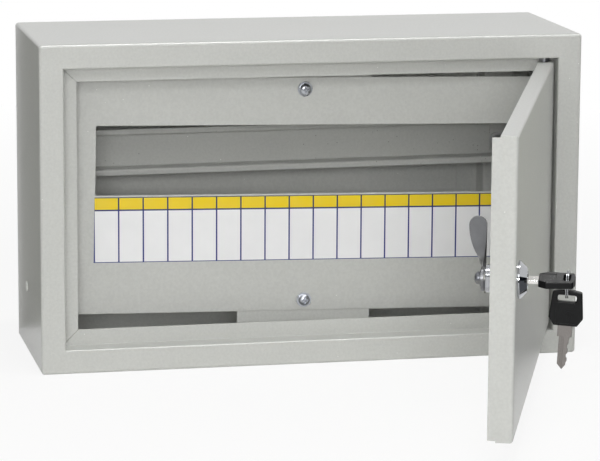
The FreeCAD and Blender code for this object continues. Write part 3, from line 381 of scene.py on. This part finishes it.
def leaned_box(node):
    """A thin upright plate's lean about +Y, and its left, right, bottom and top with the lean undone."""
    corners = [v.co for v in frame["nodes"][node].data.vertices]
    first = min(corners, key=lambda c: c.x + c.z)
    last = max(corners, key=lambda c: c.x - c.z)
    lean = math.atan2(first.z - last.z, last.x - first.x)
    upright = [Matrix.Rotation(-lean, 3, "Y") @ c for c in corners]
    across = [c.x for c in upright]
    upward = [c.z for c in upright]
    return lean, min(across), max(across), min(upward), max(upward)


def printed_film(name):
    """Self-adhesive vinyl film, screen printed: satin cells, a yellow band and thin ink lines."""
    strip = settings("strip")
    material, tree, place = new_material(name)
    lean, left, right, bottom, top = leaned_box("marking_strip")
    # the level lines follow the leaning film, and the uprights stand plumb, as in the photograph
    square = add_node(tree, "ShaderNodeMapping", {"Vector": place, "Rotation": (0.0, -lean, 0.0)})
    height = add_node(tree, "ShaderNodeSeparateXYZ", {"Vector": square}, "Z")
    plumb = add_node(tree, "ShaderNodeSeparateXYZ", {"Vector": place}, "X")
    pitch = (right - left) / strip.cells
    first = left + math.sin(lean) * (bottom + top) / 2
    past_first = add_node(tree, "ShaderNodeMath", {0: plumb, 1: first}, operation="SUBTRACT")
    to_line = add_node(tree, "ShaderNodeMath", {0: past_first, 1: pitch / 2}, operation="PINGPONG")
    header_z = top - strip.header_height
    for level in (bottom, header_z, top):
        above = add_node(tree, "ShaderNodeMath", {0: height, 1: level}, operation="SUBTRACT")
        gap = add_node(tree, "ShaderNodeMath", {0: above}, operation="ABSOLUTE")
        to_line = add_node(tree, "ShaderNodeMath", {0: to_line, 1: gap}, operation="MINIMUM")
    is_header = add_node(tree, "ShaderNodeMath", {0: height, 1: header_z}, operation="GREATER_THAN")
    ground = add_node(tree, "ShaderNodeMix", {
        MIX_BY: is_header, MIX_FROM: list(strip.cell), MIX_TO: list(strip.header)}, MIXED, data_type="RGBA")
    cloud = add_node(tree, "ShaderNodeTexNoise", {
        "Vector": place, "Scale": 1.0 / FILM_CLOUD, "Detail": 3.0})
    hazy = add_node(tree, "ShaderNodeMapRange", {
        "Value": cloud, "From Min": 0.3, "From Max": 0.7, "To Max": 0.06})
    ground = add_node(tree, "ShaderNodeMix", {
        MIX_BY: hazy, MIX_FROM: ground, MIX_TO: list(strip.haze)}, MIXED, data_type="RGBA")
    half = strip.line_width / 2
    edge = half + strip.border_width
    border = add_node(tree, "ShaderNodeMapRange", {
        "Value": to_line, "From Min": half + strip.border_width * 0.7, "From Max": edge,
        "To Min": 0.45, "To Max": 0.0})
    paler = add_node(tree, "ShaderNodeMix", {
        MIX_BY: is_header, MIX_FROM: list(strip.cell_border), MIX_TO: list(strip.header_border)},
        MIXED, data_type="RGBA")
    ground = add_node(tree, "ShaderNodeMix", {
        MIX_BY: border, MIX_FROM: ground, MIX_TO: paler}, MIXED, data_type="RGBA")
    ink = add_node(tree, "ShaderNodeMix", {
        MIX_BY: is_header, MIX_FROM: list(strip.ink), MIX_TO: list(strip.header_ink)},
        MIXED, data_type="RGBA")
    printed = add_node(tree, "ShaderNodeMapRange", {
        "Value": to_line, "From Min": half * 0.8, "From Max": half * 1.1, "To Min": 1.0, "To Max": 0.0})
    shade = add_node(tree, "ShaderNodeMix", {
        MIX_BY: printed, MIX_FROM: ground, MIX_TO: ink}, MIXED, data_type="RGBA")
    shader = add_node(tree, "ShaderNodeBsdfPrincipled", {"Base Color": shade, "Roughness": 0.38, "IOR": 1.46})
    add_node(tree, "ShaderNodeOutputMaterial", {"Surface": shader}, None)
    return material


def seen_directly(tree):
    """1 where the camera, a mirror or a glass looks at a surface, and 0 where it only lights others."""
    path = add_node(tree, "ShaderNodeLightPath", output=None)
    seen = path["Is Camera Ray"]
    for ray in ("Is Glossy Ray", "Is Transmission Ray"):
        seen = add_node(tree, "ShaderNodeMath", {0: seen, 1: path[ray]}, operation="MAXIMUM")
    return seen


def make_finishes():
    """A material for each of the record's slots, and three for pieces that differ from their slot."""
    paint, metal, keys = settings("paint"), settings("metal"), settings("keys")
    outside = list(paint.outside)
    inside = list(paint.inside)
    return {
        "case_paint": powder_coat("powder_coat_case", outside),
        "door_paint": powder_coat("powder_coat_door", outside),
        "cover_paint": powder_coat("powder_coat_cover", outside),
        # the paler inner coat is painted light for the interior in the cover's shade
        "inner_paint": powder_coat("powder_coat_inside_lightened", inside),
        # the rail's coat is a shade darker, as painted shade for the cover's shadow over it, and dust specks lie
        # on it in drifts
        "rail_paint": powder_coat("powder_coat_rail_shaded", list(paint.rail), soiled=0.3),
        "marking_film": printed_film("printed_vinyl_film"),
        # bright zinc clouds over towards blue, and dull zinc towards straw
        "zinc_screw": plated_metal("bright_zinc_plate", list(metal.bright_zinc), 0.3, tint="BFC3D2"),
        "zinc_plate": plated_metal("dull_zinc_plate", list(metal.dull_zinc), 0.36, tint="B5B09A"),
        # unpolished zinc on the rail's screws and washers spreads its highlights wide
        "washer_plate": plated_metal("matt_zinc_plate", list(metal.washer), 0.5),
        # drawn bar keeps the long streaks of its die
        "brass_bar": plated_metal("drawn_brass", list(metal.brass), 0.25, stretch=(0.05, 1, 1)),
        "neutral_holder": moulded_plastic("blue_polyamide", linear("2E5C9E"), 0.36),
        "earth_holder": moulded_plastic("green_polyamide", linear("3F7E3C"), 0.36),
        # chrome over a polished casting is nearly a clean mirror
        "lock_chrome": plated_metal("chrome_plated_zinc", list(metal.chrome), 0.07, 0.05),
        # tumbling leaves the cam with broad dull clouds
        "cam_steel": plated_metal("tumbled_zinc_plated_cam", list(metal.cam), 0.32, 0.4, 14 * MM),
        # milling leaves fine marks on a blade, and handling dulls the spare one; the blade in the lock is painted
        # pale, as painted light, and the spare one dark, as painted shade
        "key_nickel": plated_metal("milled_nickel_silver", list(metal.nickel), 0.24, 0.2, 0.7 * MM),
        "shaded_nickel": plated_metal("shaded_nickel_silver", list(metal.shaded_nickel), 0.36, 0.25, 0.7 * MM),
        "key_plastic": moulded_plastic("black_moulded_plastic", list(keys.bow), 0.3),
        "ring_steel": plated_metal("nickel_plated_wire", list(metal.chrome), 0.12, 0.06),
        "plug_plastic": moulded_plastic("pale_polyethylene", linear("DCDDD8"), 0.4),
    }


FINISHES = {}
TREES = {}


def finish_for(slot):
    """The slot's material, made the first time that a piece asks for one."""
    if not FINISHES:
        FINISHES.update(make_finishes())
    return FINISHES[slot]


def new_piece(name, mesh, body, slot, replaced=()):
    """Links a finished mesh as a piece of the object, on its body and in its material slot."""
    piece = bpy.data.objects.new(name, mesh)
    bpy.context.scene.collection.objects.link(piece)
    mesh.materials.clear()
    mesh.materials.append(finish_for(slot))
    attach(piece, body)
    if replaced:
        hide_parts(*replaced)
    return piece


def smooth_by_angle(mesh, degrees=40):
    """Smooth faces, with edges over an angle left sharp."""
    for polygon in mesh.polygons:
        polygon.use_smooth = True
    mesh.set_sharp_from_angle(angle=math.radians(degrees))


def merged_copy(node):
    """A copy of a node's mesh as one connected surface with whole flat faces."""
    mesh = frame["nodes"][node].data.copy()
    mesh.name = node + "_finished"
    work = bmesh.new()
    work.from_mesh(mesh)
    same_place, same_plane = 0.002 * MM, math.radians(0.4)
    bmesh.ops.remove_doubles(work, verts=work.verts, dist=same_place)
    bmesh.ops.dissolve_limit(work, angle_limit=same_plane, verts=work.verts, edges=work.edges)
    work.to_mesh(mesh)
    work.free()
    mesh.update()
    return mesh


def dress(node, edge_round, smooth_degrees=32, segments=2):
    """Stands a finished copy in for a node: rounded edges, clean shading and the slot's finish."""
    mesh = merged_copy(node)
    smooth_by_angle(mesh, smooth_degrees)
    piece = new_piece(node + "_finished", mesh, BODY_OF[node], SLOT_OF[node], [node])
    if edge_round > 0:
        bevel = piece.modifiers.new("edge_rounding", "BEVEL")
        bevel.width = edge_round
        bevel.segments = segments
        bevel.limit_method = "ANGLE"
        bevel.angle_limit = math.radians(smooth_degrees)
        bevel.use_clamp_overlap = True
        weighted = piece.modifiers.new("flat_faces_flat", "WEIGHTED_NORMAL")
        weighted.keep_sharp = True
    return piece


def node_tree_with(name, sockets):
    """An empty Geometry Nodes tree with named inputs, and its group input and output."""
    tree = bpy.data.node_groups.new(name, "GeometryNodeTree")
    tree.interface.new_socket("Geometry", in_out="OUTPUT", socket_type="NodeSocketGeometry")
    tree.interface.new_socket("Geometry", in_out="INPUT", socket_type="NodeSocketGeometry")
    for label, kind, default in sockets:
        item = tree.interface.new_socket(label, in_out="INPUT", socket_type=kind)
        if default is not None:
            item.default_value = default
    return tree, add_node(tree, "NodeGroupInput", output=None)


def close_tree(tree, geometry, material):
    """Ends a tree in Realize Instances and Set Material."""
    real = add_node(tree, "GeometryNodeRealizeInstances", {0: geometry})
    coated = add_node(tree, "GeometryNodeSetMaterial", {"Geometry": real, "Material": material})
    add_node(tree, "NodeGroupOutput", {0: coated}, None)
    return tree


def helix_tree():
    """Wire of rectangular section wound into a helix about Z: a thread's ridge or a split ring."""
    tree, given = node_tree_with("wound_wire", [
        ("Radius", "NodeSocketFloat", STUD_RADIUS), ("Pitch", "NodeSocketFloat", STUD_PITCH),
        ("Turns", "NodeSocketFloat", 10.0), ("Width", "NodeSocketFloat", STUD_PITCH * RIDGE_WIDTH),
        ("Height", "NodeSocketFloat", STUD_PITCH * RIDGE_WIDTH),
        ("Rounding", "NodeSocketFloat", STUD_PITCH * RIDGE_WIDTH * RIDGE_ROUNDING),
        ("Steps", "NodeSocketInt", THREAD_STEPS), ("Material", "NodeSocketMaterial", None)])
    height = add_node(tree, "ShaderNodeMath", {0: given["Pitch"], 1: given["Turns"]}, operation="MULTIPLY")
    spiral = add_node(tree, "GeometryNodeCurveSpiral", {
        "Resolution": given["Steps"], "Rotations": given["Turns"], "Start Radius": given["Radius"],
        "End Radius": given["Radius"], "Height": height})
    upright = add_node(tree, "GeometryNodeSetCurveNormal", {0: spiral}, mode="Z_UP")
    corners = add_node(tree, "GeometryNodeCurvePrimitiveQuadrilateral", {
        "Width": given["Width"], "Height": given["Height"]})
    section = add_node(tree, "GeometryNodeFilletCurve", {
        0: corners, "Radius": given["Rounding"], "Count": 3}, mode="POLY")
    wire = add_node(tree, "GeometryNodeCurveToMesh", {
        "Curve": upright, "Profile Curve": section, "Fill Caps": True})
    return close_tree(tree, wire, given["Material"])


def spot_row_tree():
    """A row of low round marks, as spot welds leave under paint, along one direction."""
    tree, given = node_tree_with("spot_weld_row", [
        ("Count", "NodeSocketInt", WELDS_IN_ROW), ("Step", "NodeSocketVector", (0.0, 0.0, WELD_STEP)),
        ("Radius", "NodeSocketFloat", WELD_RADIUS), ("Rise", "NodeSocketFloat", WELD_RISE),
        ("Material", "NodeSocketMaterial", None)])
    line = add_node(tree, "GeometryNodeMeshLine", {"Count": given["Count"], "Offset": given["Step"]})
    mark = add_node(tree, "GeometryNodeMeshUVSphere", {"Segments": 20, "Rings": 8, "Radius": 1.0})
    size = add_node(tree, "ShaderNodeCombineXYZ", {0: given["Radius"], 1: given["Rise"], 2: given["Radius"]})
    marks = add_node(tree, "GeometryNodeInstanceOnPoints", {"Points": line, "Instance": mark, "Scale": size})
    return close_tree(tree, marks, given["Material"])


def grown_mesh(tree, values, name, material):
    """Runs a Geometry Nodes tree with these inputs and returns its plain mesh."""
    seed = bpy.data.objects.new(name + "_seed", bpy.data.meshes.new(name + "_seed"))
    bpy.context.scene.collection.objects.link(seed)
    modifier = seed.modifiers.new("grow", "NODES")
    modifier.node_group = tree
    identifiers = {item.name: item.identifier for item in tree.interface.items_tree
                   if item.item_type == "SOCKET" and item.in_out == "INPUT"}
    for label, value in {**values, "Material": material}.items():
        modifier[identifiers[label]] = value
    depsgraph = bpy.context.evaluated_depsgraph_get()
    mesh = bpy.data.meshes.new_from_object(seed.evaluated_get(depsgraph))
    seed.modifiers.remove(modifier)
    bpy.data.objects.remove(seed)
    mesh.name = name
    return mesh


def axis_matrix(origin, axis):
    """A frame at origin whose Z points along axis."""
    turn = Vector(axis).to_track_quat("Z", "Y").to_matrix().to_4x4()
    return Matrix.Translation(origin) @ turn


def span(node, direction, half=None):
    """How far a node reaches along a direction, as least and most; half keeps the solids on one side."""
    corners = [v.co for v in frame["nodes"][node].data.vertices]
    reaches = [c.dot(Vector(direction)) for c in corners if not half or c.dot(Vector(half)) > 0]
    return min(reaches), max(reaches)


def thread_beyond(nut, shank, axis, radius, pitch, half=None, half_flats=None, label=""):
    """Winds a thread's ridge on a plain shank, from its nut to its end, cut away at any flats."""
    axis, upward = Vector(axis), Vector((0.0, 0.0, 1.0))
    across = axis.cross(upward).normalized()
    nut_face, tip = span(nut, axis, half)[1], span(shank, axis, half)[1]
    width = pitch * RIDGE_WIDTH
    name = shank + "_thread" + label
    mesh = grown_mesh(TREES["helix"], {
        "Radius": radius - width * RIDGE_SINK, "Pitch": pitch, "Turns": (tip - nut_face - width) / pitch,
        "Width": width, "Height": width, "Rounding": width * RIDGE_ROUNDING, "Steps": THREAD_STEPS},
        name, finish_for(SLOT_OF[shank]))
    mesh.transform(axis_matrix(axis * (nut_face + width / 2), axis))
    if half_flats:
        for vertex in mesh.vertices:
            over = vertex.co.dot(across)
            if abs(over) > half_flats:
                vertex.co -= across * (over - math.copysign(half_flats - FLAT_PLAY, over))
    mesh.transform(Matrix.Translation(across * sum(span(shank, across, half)) / 2
                                      + upward * sum(span(shank, upward, half)) / 2))
    smooth_by_angle(mesh)
    return new_piece(name, mesh, BODY_OF[shank], SLOT_OF[shank])


class ENCLOSURE_OT_case(bpy.types.Operator):
    """Finish the case, its back panel, its side plug and the hinge pins"""
    bl_idname = "enclosure.case"
    bl_label = "Case"

    def execute(self, context):
        round_off = settings("paint").edge_round
        dress("case_shell", round_off)
        dress("back_panel", round_off)
        dress("side_plug", PLUG_ROUND)
        for node in ("hinge_pin_top", "hinge_pin_bottom"):
            dress(node, METAL_ROUND)
        return {"FINISHED"}


class ENCLOSURE_OT_cover(bpy.types.Operator):
    """Coat the inner cover and its brackets, print the marking strip and plate what fastens them"""
    bl_idname = "enclosure.cover"
    bl_label = "Inner cover"

    def execute(self, context):
        round_off = settings("paint").edge_round
        for node in ("inner_cover", "cover_bracket_top", "cover_bracket_bottom"):
            dress(node, round_off)
        dress("marking_strip", 0.0)
        for node in ("cover_screws", "cover_washers", "cover_nuts"):
            dress(node, FASTENER_ROUND)
        for label, half in (("_bottom", (0, 0, -1)), ("_top", (0, 0, 1))):
            thread_beyond("cover_nuts", "cover_screws", (0, 1, 0), SCREW_RADIUS, SCREW_PITCH, half,
                          label=label)
        return {"FINISHED"}


class ENCLOSURE_OT_rail(bpy.types.Operator):
    """Coat the mounting rail and its uprights, mark their welds and plate what fastens them"""
    bl_idname = "enclosure.rail"
    bl_label = "Mounting rail"

    def execute(self, context):
        round_off = settings("paint").edge_round
        for node in ("upright_left", "upright_right"):
            dress(node, round_off)
        for node in ("mounting_rail", "rail_plates"):
            dress(node, round_off).data.materials[0] = finish_for("rail_paint")
        for node in ("rail_standoff_left", "rail_standoff_right", "standoff_screws", "standoff_nuts",
                     "rail_nuts"):
            dress(node, FASTENER_ROUND)
        for node in ("rail_screws", "rail_washers"):
            dress(node, FASTENER_ROUND).data.materials[0] = finish_for("washer_plate")
        self.spot_welds()
        for label, half in (("_left", (-1, 0, 0)), ("_right", (1, 0, 0))):
            thread_beyond("standoff_nuts", "standoff_screws", (0, 1, 0), SCREW_RADIUS, SCREW_PITCH, half,
                          label=label)
        return {"FINISHED"}

    def spot_welds(self):
        """Two rows of low marks on the foot of each upright; inner names the row at the lower X."""
        for side in ("left", "right"):
            low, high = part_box("upright_" + side)
            for edge, x in (("inner", low.x + WELD_INSET), ("outer", high.x - WELD_INSET)):
                name = "spot_welds_" + side + "_" + edge
                mesh = grown_mesh(TREES["spots"], {
                    "Count": WELDS_IN_ROW, "Step": (0.0, 0.0, WELD_STEP), "Radius": WELD_RADIUS,
                    "Rise": WELD_RISE}, name, finish_for("inner_paint"))
                mesh.transform(Matrix.Translation((x, high.y - UPRIGHT_SHEET, low.z + WELD_FIRST)))
                smooth_by_angle(mesh, 60)
                new_piece(name, mesh, "case", "inner_paint")


class ENCLOSURE_OT_terminals(bpy.types.Operator):
    """Finish the neutral and earth bars, their holders and the earth studs"""
    bl_idname = "enclosure.terminals"
    bl_label = "Terminal bars"

    def execute(self, context):
        for node in ("neutral_bar", "earth_bar", "neutral_bar_screws", "earth_bar_screws",
                     "neutral_bar_holders", "earth_bar_holders", "holder_screws", "case_earth_stud",
                     "case_earth_nut", "door_earth_stud", "door_earth_nut"):
            dress(node, METAL_ROUND)
        thread_beyond("case_earth_nut", "case_earth_stud", (0, -1, 0), STUD_RADIUS, STUD_PITCH)
        thread_beyond("door_earth_nut", "door_earth_stud", INTO_DOOR, STUD_RADIUS, STUD_PITCH)
        return {"FINISHED"}


class ENCLOSURE_OT_door(bpy.types.Operator):
    """Coat the door"""
    bl_idname = "enclosure.door"
    bl_label = "Door"

    def execute(self, context):
        dress("door_panel", settings("paint").edge_round)
        return {"FINISHED"}


class ENCLOSURE_OT_lock(bpy.types.Operator):
    """Plate the lock, its nut, washers, cam and screw, and thread its barrel"""
    bl_idname = "enclosure.lock"
    bl_label = "Cam lock"

    def execute(self, context):
        for node in ("lock_body", "lock_washer", "lock_nut", "lock_cylinder", "lock_stop_washer",
                     "lock_cam", "cam_washer"):
            dress(node, METAL_ROUND, segments=3)
        dress("cam_screw", METAL_ROUND, segments=3).data.materials[0] = finish_for("zinc_plate")
        thread_beyond("lock_nut", "lock_body", INTO_DOOR, BARREL_RADIUS, BARREL_PITCH,
                      half_flats=BARREL_HALF_FLATS)
        return {"FINISHED"}


class ENCLOSURE_OT_keys(bpy.types.Operator):
    """Finish both keys and wind the split ring"""
    bl_idname = "enclosure.keys"
    bl_label = "Keys and ring"

    def execute(self, context):
        dress("key_blade", FASTENER_ROUND)
        # the spare blade's dark nickel silver is painted shade
        dress("spare_key_blade", FASTENER_ROUND).data.materials[0] = finish_for("shaded_nickel")
        for node in ("key_bow", "spare_key_bow"):
            dress(node, BOW_ROUND, 40)
        self.split_ring()
        return {"FINISHED"}

    def split_ring(self):
        """Nearly two turns of flattened wire, in the place of the plain ring."""
        low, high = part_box("key_ring")
        outer = (high.z - low.z) / 2
        axis = Vector(JOINT["ring_swing"]["axis"])
        turns = settings("keys").ring_turns
        mesh = grown_mesh(TREES["helix"], {
            "Radius": outer - RING_WIRE / 2, "Pitch": RING_TURN_HEIGHT, "Turns": turns, "Width": RING_WIRE,
            "Height": RING_TURN_HEIGHT * RING_FLATNESS, "Rounding": RING_TURN_HEIGHT * RING_ROUNDING,
            "Steps": RING_STEPS}, "split_ring", finish_for("ring_steel"))
        start = (low + high) / 2 - axis * (turns * RING_TURN_HEIGHT / 2)
        mesh.transform(axis_matrix(start, axis))
        smooth_by_angle(mesh)
        new_piece("split_ring", mesh, "key_ring", "ring_steel", ["key_ring"])


class ENCLOSURE_OT_stage(bpy.types.Operator):
    """Set the floor, the lights, the world and the camera"""
    bl_idname = "enclosure.stage"
    bl_label = "Studio"

    def execute(self, context):
        self.floor()
        self.lights()
        self.cards()
        self.world()
        self.camera()
        context.scene.view_settings.view_transform = "Standard"
        return {"FINISHED"}

    def floor(self):
        """A wide pale floor just under the case, which fades to white before the camera."""
        mesh = bpy.data.meshes.new("floor")
        level = CAD_LOW.z - FLOOR_GAP
        corners = [(x * FLOOR_REACH, y * FLOOR_REACH, level) for x, y in ((-1, -1), (1, -1), (1, 1), (-1, 1))]
        mesh.from_pydata(corners, [], [(0, 1, 2, 3)])
        floor = bpy.data.objects.new("floor", mesh)
        bpy.context.scene.collection.objects.link(floor)
        material, tree, place = new_material("pale_studio_floor")
        cloud = add_node(tree, "ShaderNodeTexNoise", {
            "Vector": place, "Scale": 1.0 / FLOOR_CLOUD, "Detail": 2.0})
        worn = add_node(tree, "ShaderNodeMapRange", {
            "Value": cloud, "From Min": 0.3, "From Max": 0.7, "To Max": 0.03})
        shade = add_node(tree, "ShaderNodeMix", {
            MIX_BY: worn, MIX_FROM: list(settings("stage").floor), MIX_TO: linear("D8D8D6")},
            MIXED, data_type="RGBA")
        lit = add_node(tree, "ShaderNodeBsdfDiffuse", {"Color": shade})
        white = add_node(tree, "ShaderNodeEmission", {"Color": (1, 1, 1, 1), "Strength": 1.0})
        away = add_node(tree, "ShaderNodeVectorMath", {0: place}, "Value", operation="LENGTH")
        fade = add_node(tree, "ShaderNodeMapRange", {
            "Value": away, "From Min": FADE_FROM, "From Max": FADE_TO, "To Min": WHITE_AT_CASE})
        factor = add_node(tree, "ShaderNodeMath", {0: seen_directly(tree), 1: fade}, operation="MULTIPLY")
        mixed = add_node(tree, "ShaderNodeMixShader", {0: factor, 1: lit, 2: white})
        add_node(tree, "ShaderNodeOutputMaterial", {"Surface": mixed}, None)
        floor.data.materials.append(material)

    def lights(self):
        """A broad low light beside the camera, a high one in front and one above."""
        stage = settings("stage")
        for name, place, width, height, watts in (
                ("key_light", (-0.5, -2.35, 0.46), 1.0, 0.38, stage.key_watts),
                ("high_light", (-0.3, -2.0, 1.12), 1.1, 0.6, stage.high_watts),
                ("top_light", (0.1, -0.4, 1.9), 0.5, 0.2, stage.top_watts)):
            lamp = bpy.data.lights.new(name, "AREA")
            lamp.energy = watts
            lamp.shape = "RECTANGLE"
            lamp.size, lamp.size_y = width, height
            light = bpy.data.objects.new(name, lamp)
            light.matrix_world = self.facing(place)
            bpy.context.scene.collection.objects.link(light)

    def facing(self, place):
        """A place from which -Z points at the case."""
        towards = Vector(AIM) - Vector(place)
        return Matrix.Translation(place) @ towards.to_track_quat("-Z", "Y").to_matrix().to_4x4()

    def cards(self):
        """Cards and flags that only mirrors and gloss see, as a photographer hangs round metal."""
        upright = Matrix.Rotation(math.pi / 2, 4, "X")
        ground = CAD_LOW.z
        stage = settings("stage")
        dark = list(stage.card)
        for name, stand, width, height, colour, strength in (
                ("edge_card", Matrix.Translation((0.42, -0.5, 1.85)), 1.2, 0.4,
                 linear("FFFFFF"), stage.edge_gloss),
                ("front_card", Matrix.Translation((0.1, -3.2, 1.3)) @ upright, 4.6, 3.4, dark, 1.0),
                ("front_floor_card", Matrix.Translation((0.0, -1.9, ground)), 3.4, 1.4,
                 linear("6E6F70"), 1.0),
                ("right_floor_card", Matrix.Translation((1.2, -0.9, ground)), 2.0, 1.6,
                 linear("6A6C70"), 1.0),
                ("right_card", self.facing((1.7, -1.3, -0.05)), 1.2, 0.75, dark, 1.0),
                ("right_high_card", self.facing((1.3, -0.5, 1.15)), 1.0, 0.4, dark, 1.0),
                ("left_card", self.facing((-1.7, -0.8, 0.35)), 1.1, 0.9, dark, 1.0),
                ("left_flag", Matrix.Translation((-0.61, 0.02, 0.0)) @ upright, 0.8, 0.24,
                 linear("72736C"), 1.0),
                ("right_flag", Matrix.Translation((0.61, 0.02, 0.0)) @ upright, 0.8, 0.24,
                 linear("B9BBB1"), 1.0),
                ("floor_flag", Matrix.Translation((0.55, -0.12, ground)), 0.7, 0.3,
                 linear("A0A0A0"), 1.0)):
            material, tree, place = new_material(name + "_cloth")
            nap = add_node(tree, "ShaderNodeTexNoise", {
                "Vector": place, "Scale": 1.0 / CLOTH_NAP, "Detail": 2.0})
            shade = add_node(tree, "ShaderNodeMix", {
                MIX_BY: nap, MIX_FROM: colour, MIX_TO: toned(colour, 0.9)}, MIXED, data_type="RGBA")
            cloth = add_node(tree, "ShaderNodeEmission", {"Color": shade, "Strength": strength})
            add_node(tree, "ShaderNodeOutputMaterial", {"Surface": cloth}, None)
            mesh = bpy.data.meshes.new(name)
            x, y = width / 2, height / 2
            mesh.from_pydata([(-x, -y, 0), (x, -y, 0), (x, y, 0), (-x, y, 0)], [], [(0, 1, 2, 3)])
            mesh.transform(stand)
            mesh.materials.append(material)
            card = bpy.data.objects.new(name, mesh)
            bpy.context.scene.collection.objects.link(card)
            card.visible_camera = False
            card.visible_diffuse = False
            card.visible_shadow = False

    def world(self):
        """Even light all round, and plain white where the camera or a mirror looks at it."""
        world = bpy.data.worlds.new("studio")
        bpy.context.scene.world = world
        world.use_nodes = True
        tree = world.node_tree
        tree.nodes.clear()
        soft = add_node(tree, "ShaderNodeBackground", {
            "Color": (1, 1, 1, 1), "Strength": settings("stage").ambient})
        white = add_node(tree, "ShaderNodeBackground", {"Color": (1, 1, 1, 1), "Strength": 1.0})
        mixed = add_node(tree, "ShaderNodeMixShader", {0: seen_directly(tree), 1: soft, 2: white})
        add_node(tree, "ShaderNodeOutputWorld", {"Surface": mixed}, None)

    def camera(self):
        """The photograph's viewpoint, with a long lens."""
        yaw, pitch, roll = (math.radians(a) for a in (CAMERA_YAW, CAMERA_PITCH, CAMERA_ROLL))
        forward = Vector((math.sin(yaw) * math.cos(pitch), math.cos(yaw) * math.cos(pitch), math.sin(pitch)))
        level = Vector((math.cos(yaw), -math.sin(yaw), 0.0))
        above = level.cross(forward)
        right = level * math.cos(roll) + above * math.sin(roll)
        up = above * math.cos(roll) - level * math.sin(roll)
        lens = bpy.data.cameras.new("photo_camera")
        lens.sensor_width = SENSOR_WIDTH
        lens.lens = FOCAL_PIXELS * SENSOR_WIDTH / PHOTO_WIDTH
        lens.clip_start, lens.clip_end = 0.1, 40.0
        camera = bpy.data.objects.new("photo_camera", lens)
        turn = Matrix((right, up, -forward)).transposed().to_4x4()
        camera.matrix_world = Matrix.Translation(Vector(CAMERA_MM) * MM) @ turn
        bpy.context.scene.collection.objects.link(camera)
        bpy.context.scene.camera = camera


OPERATORS = (ENCLOSURE_OT_case, ENCLOSURE_OT_cover, ENCLOSURE_OT_rail, ENCLOSURE_OT_terminals,
             ENCLOSURE_OT_door, ENCLOSURE_OT_lock, ENCLOSURE_OT_keys, ENCLOSURE_OT_stage)
SETTINGS = {"paint": PaintSettings, "strip": StripSettings, "metal": MetalSettings, "keys": KeySettings,
            "stage": StageSettings}


class ENCLOSURE_PT_panel(bpy.types.Panel):
    """Lists the steps that dress the enclosure"""
    bl_idname = "ENCLOSURE_PT_panel"
    bl_label = "Steel wall enclosure"
    bl_space_type = "VIEW_3D"
    bl_region_type = "UI"
    bl_category = "Enclosure"

    def draw(self, context):
        for operator in OPERATORS:
            self.layout.operator(operator.bl_idname)
        for name, group in SETTINGS.items():
            box = self.layout.box()
            box.label(text=name.capitalize())
            for item in group.__annotations__:
                box.prop(settings(name), item)


def register():
    for name, group in SETTINGS.items():
        bpy.utils.register_class(group)
        setattr(bpy.types.Scene, "enclosure_" + name, PointerProperty(type=group))
    for operator in OPERATORS:
        bpy.utils.register_class(operator)
    bpy.utils.register_class(ENCLOSURE_PT_panel)


def unregister():
    bpy.utils.unregister_class(ENCLOSURE_PT_panel)
    for operator in reversed(OPERATORS):
        bpy.utils.unregister_class(operator)
    for name, group in SETTINGS.items():
        delattr(bpy.types.Scene, "enclosure_" + name)
        bpy.utils.unregister_class(group)


def main():
    """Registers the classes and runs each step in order."""
    register()
    TREES["helix"] = helix_tree()
    TREES["spots"] = spot_row_tree()
    for operator in OPERATORS:
        group, step = operator.bl_idname.split(".")
        getattr(getattr(bpy.ops, group), step)()


if __name__ == "__main__":
    main()
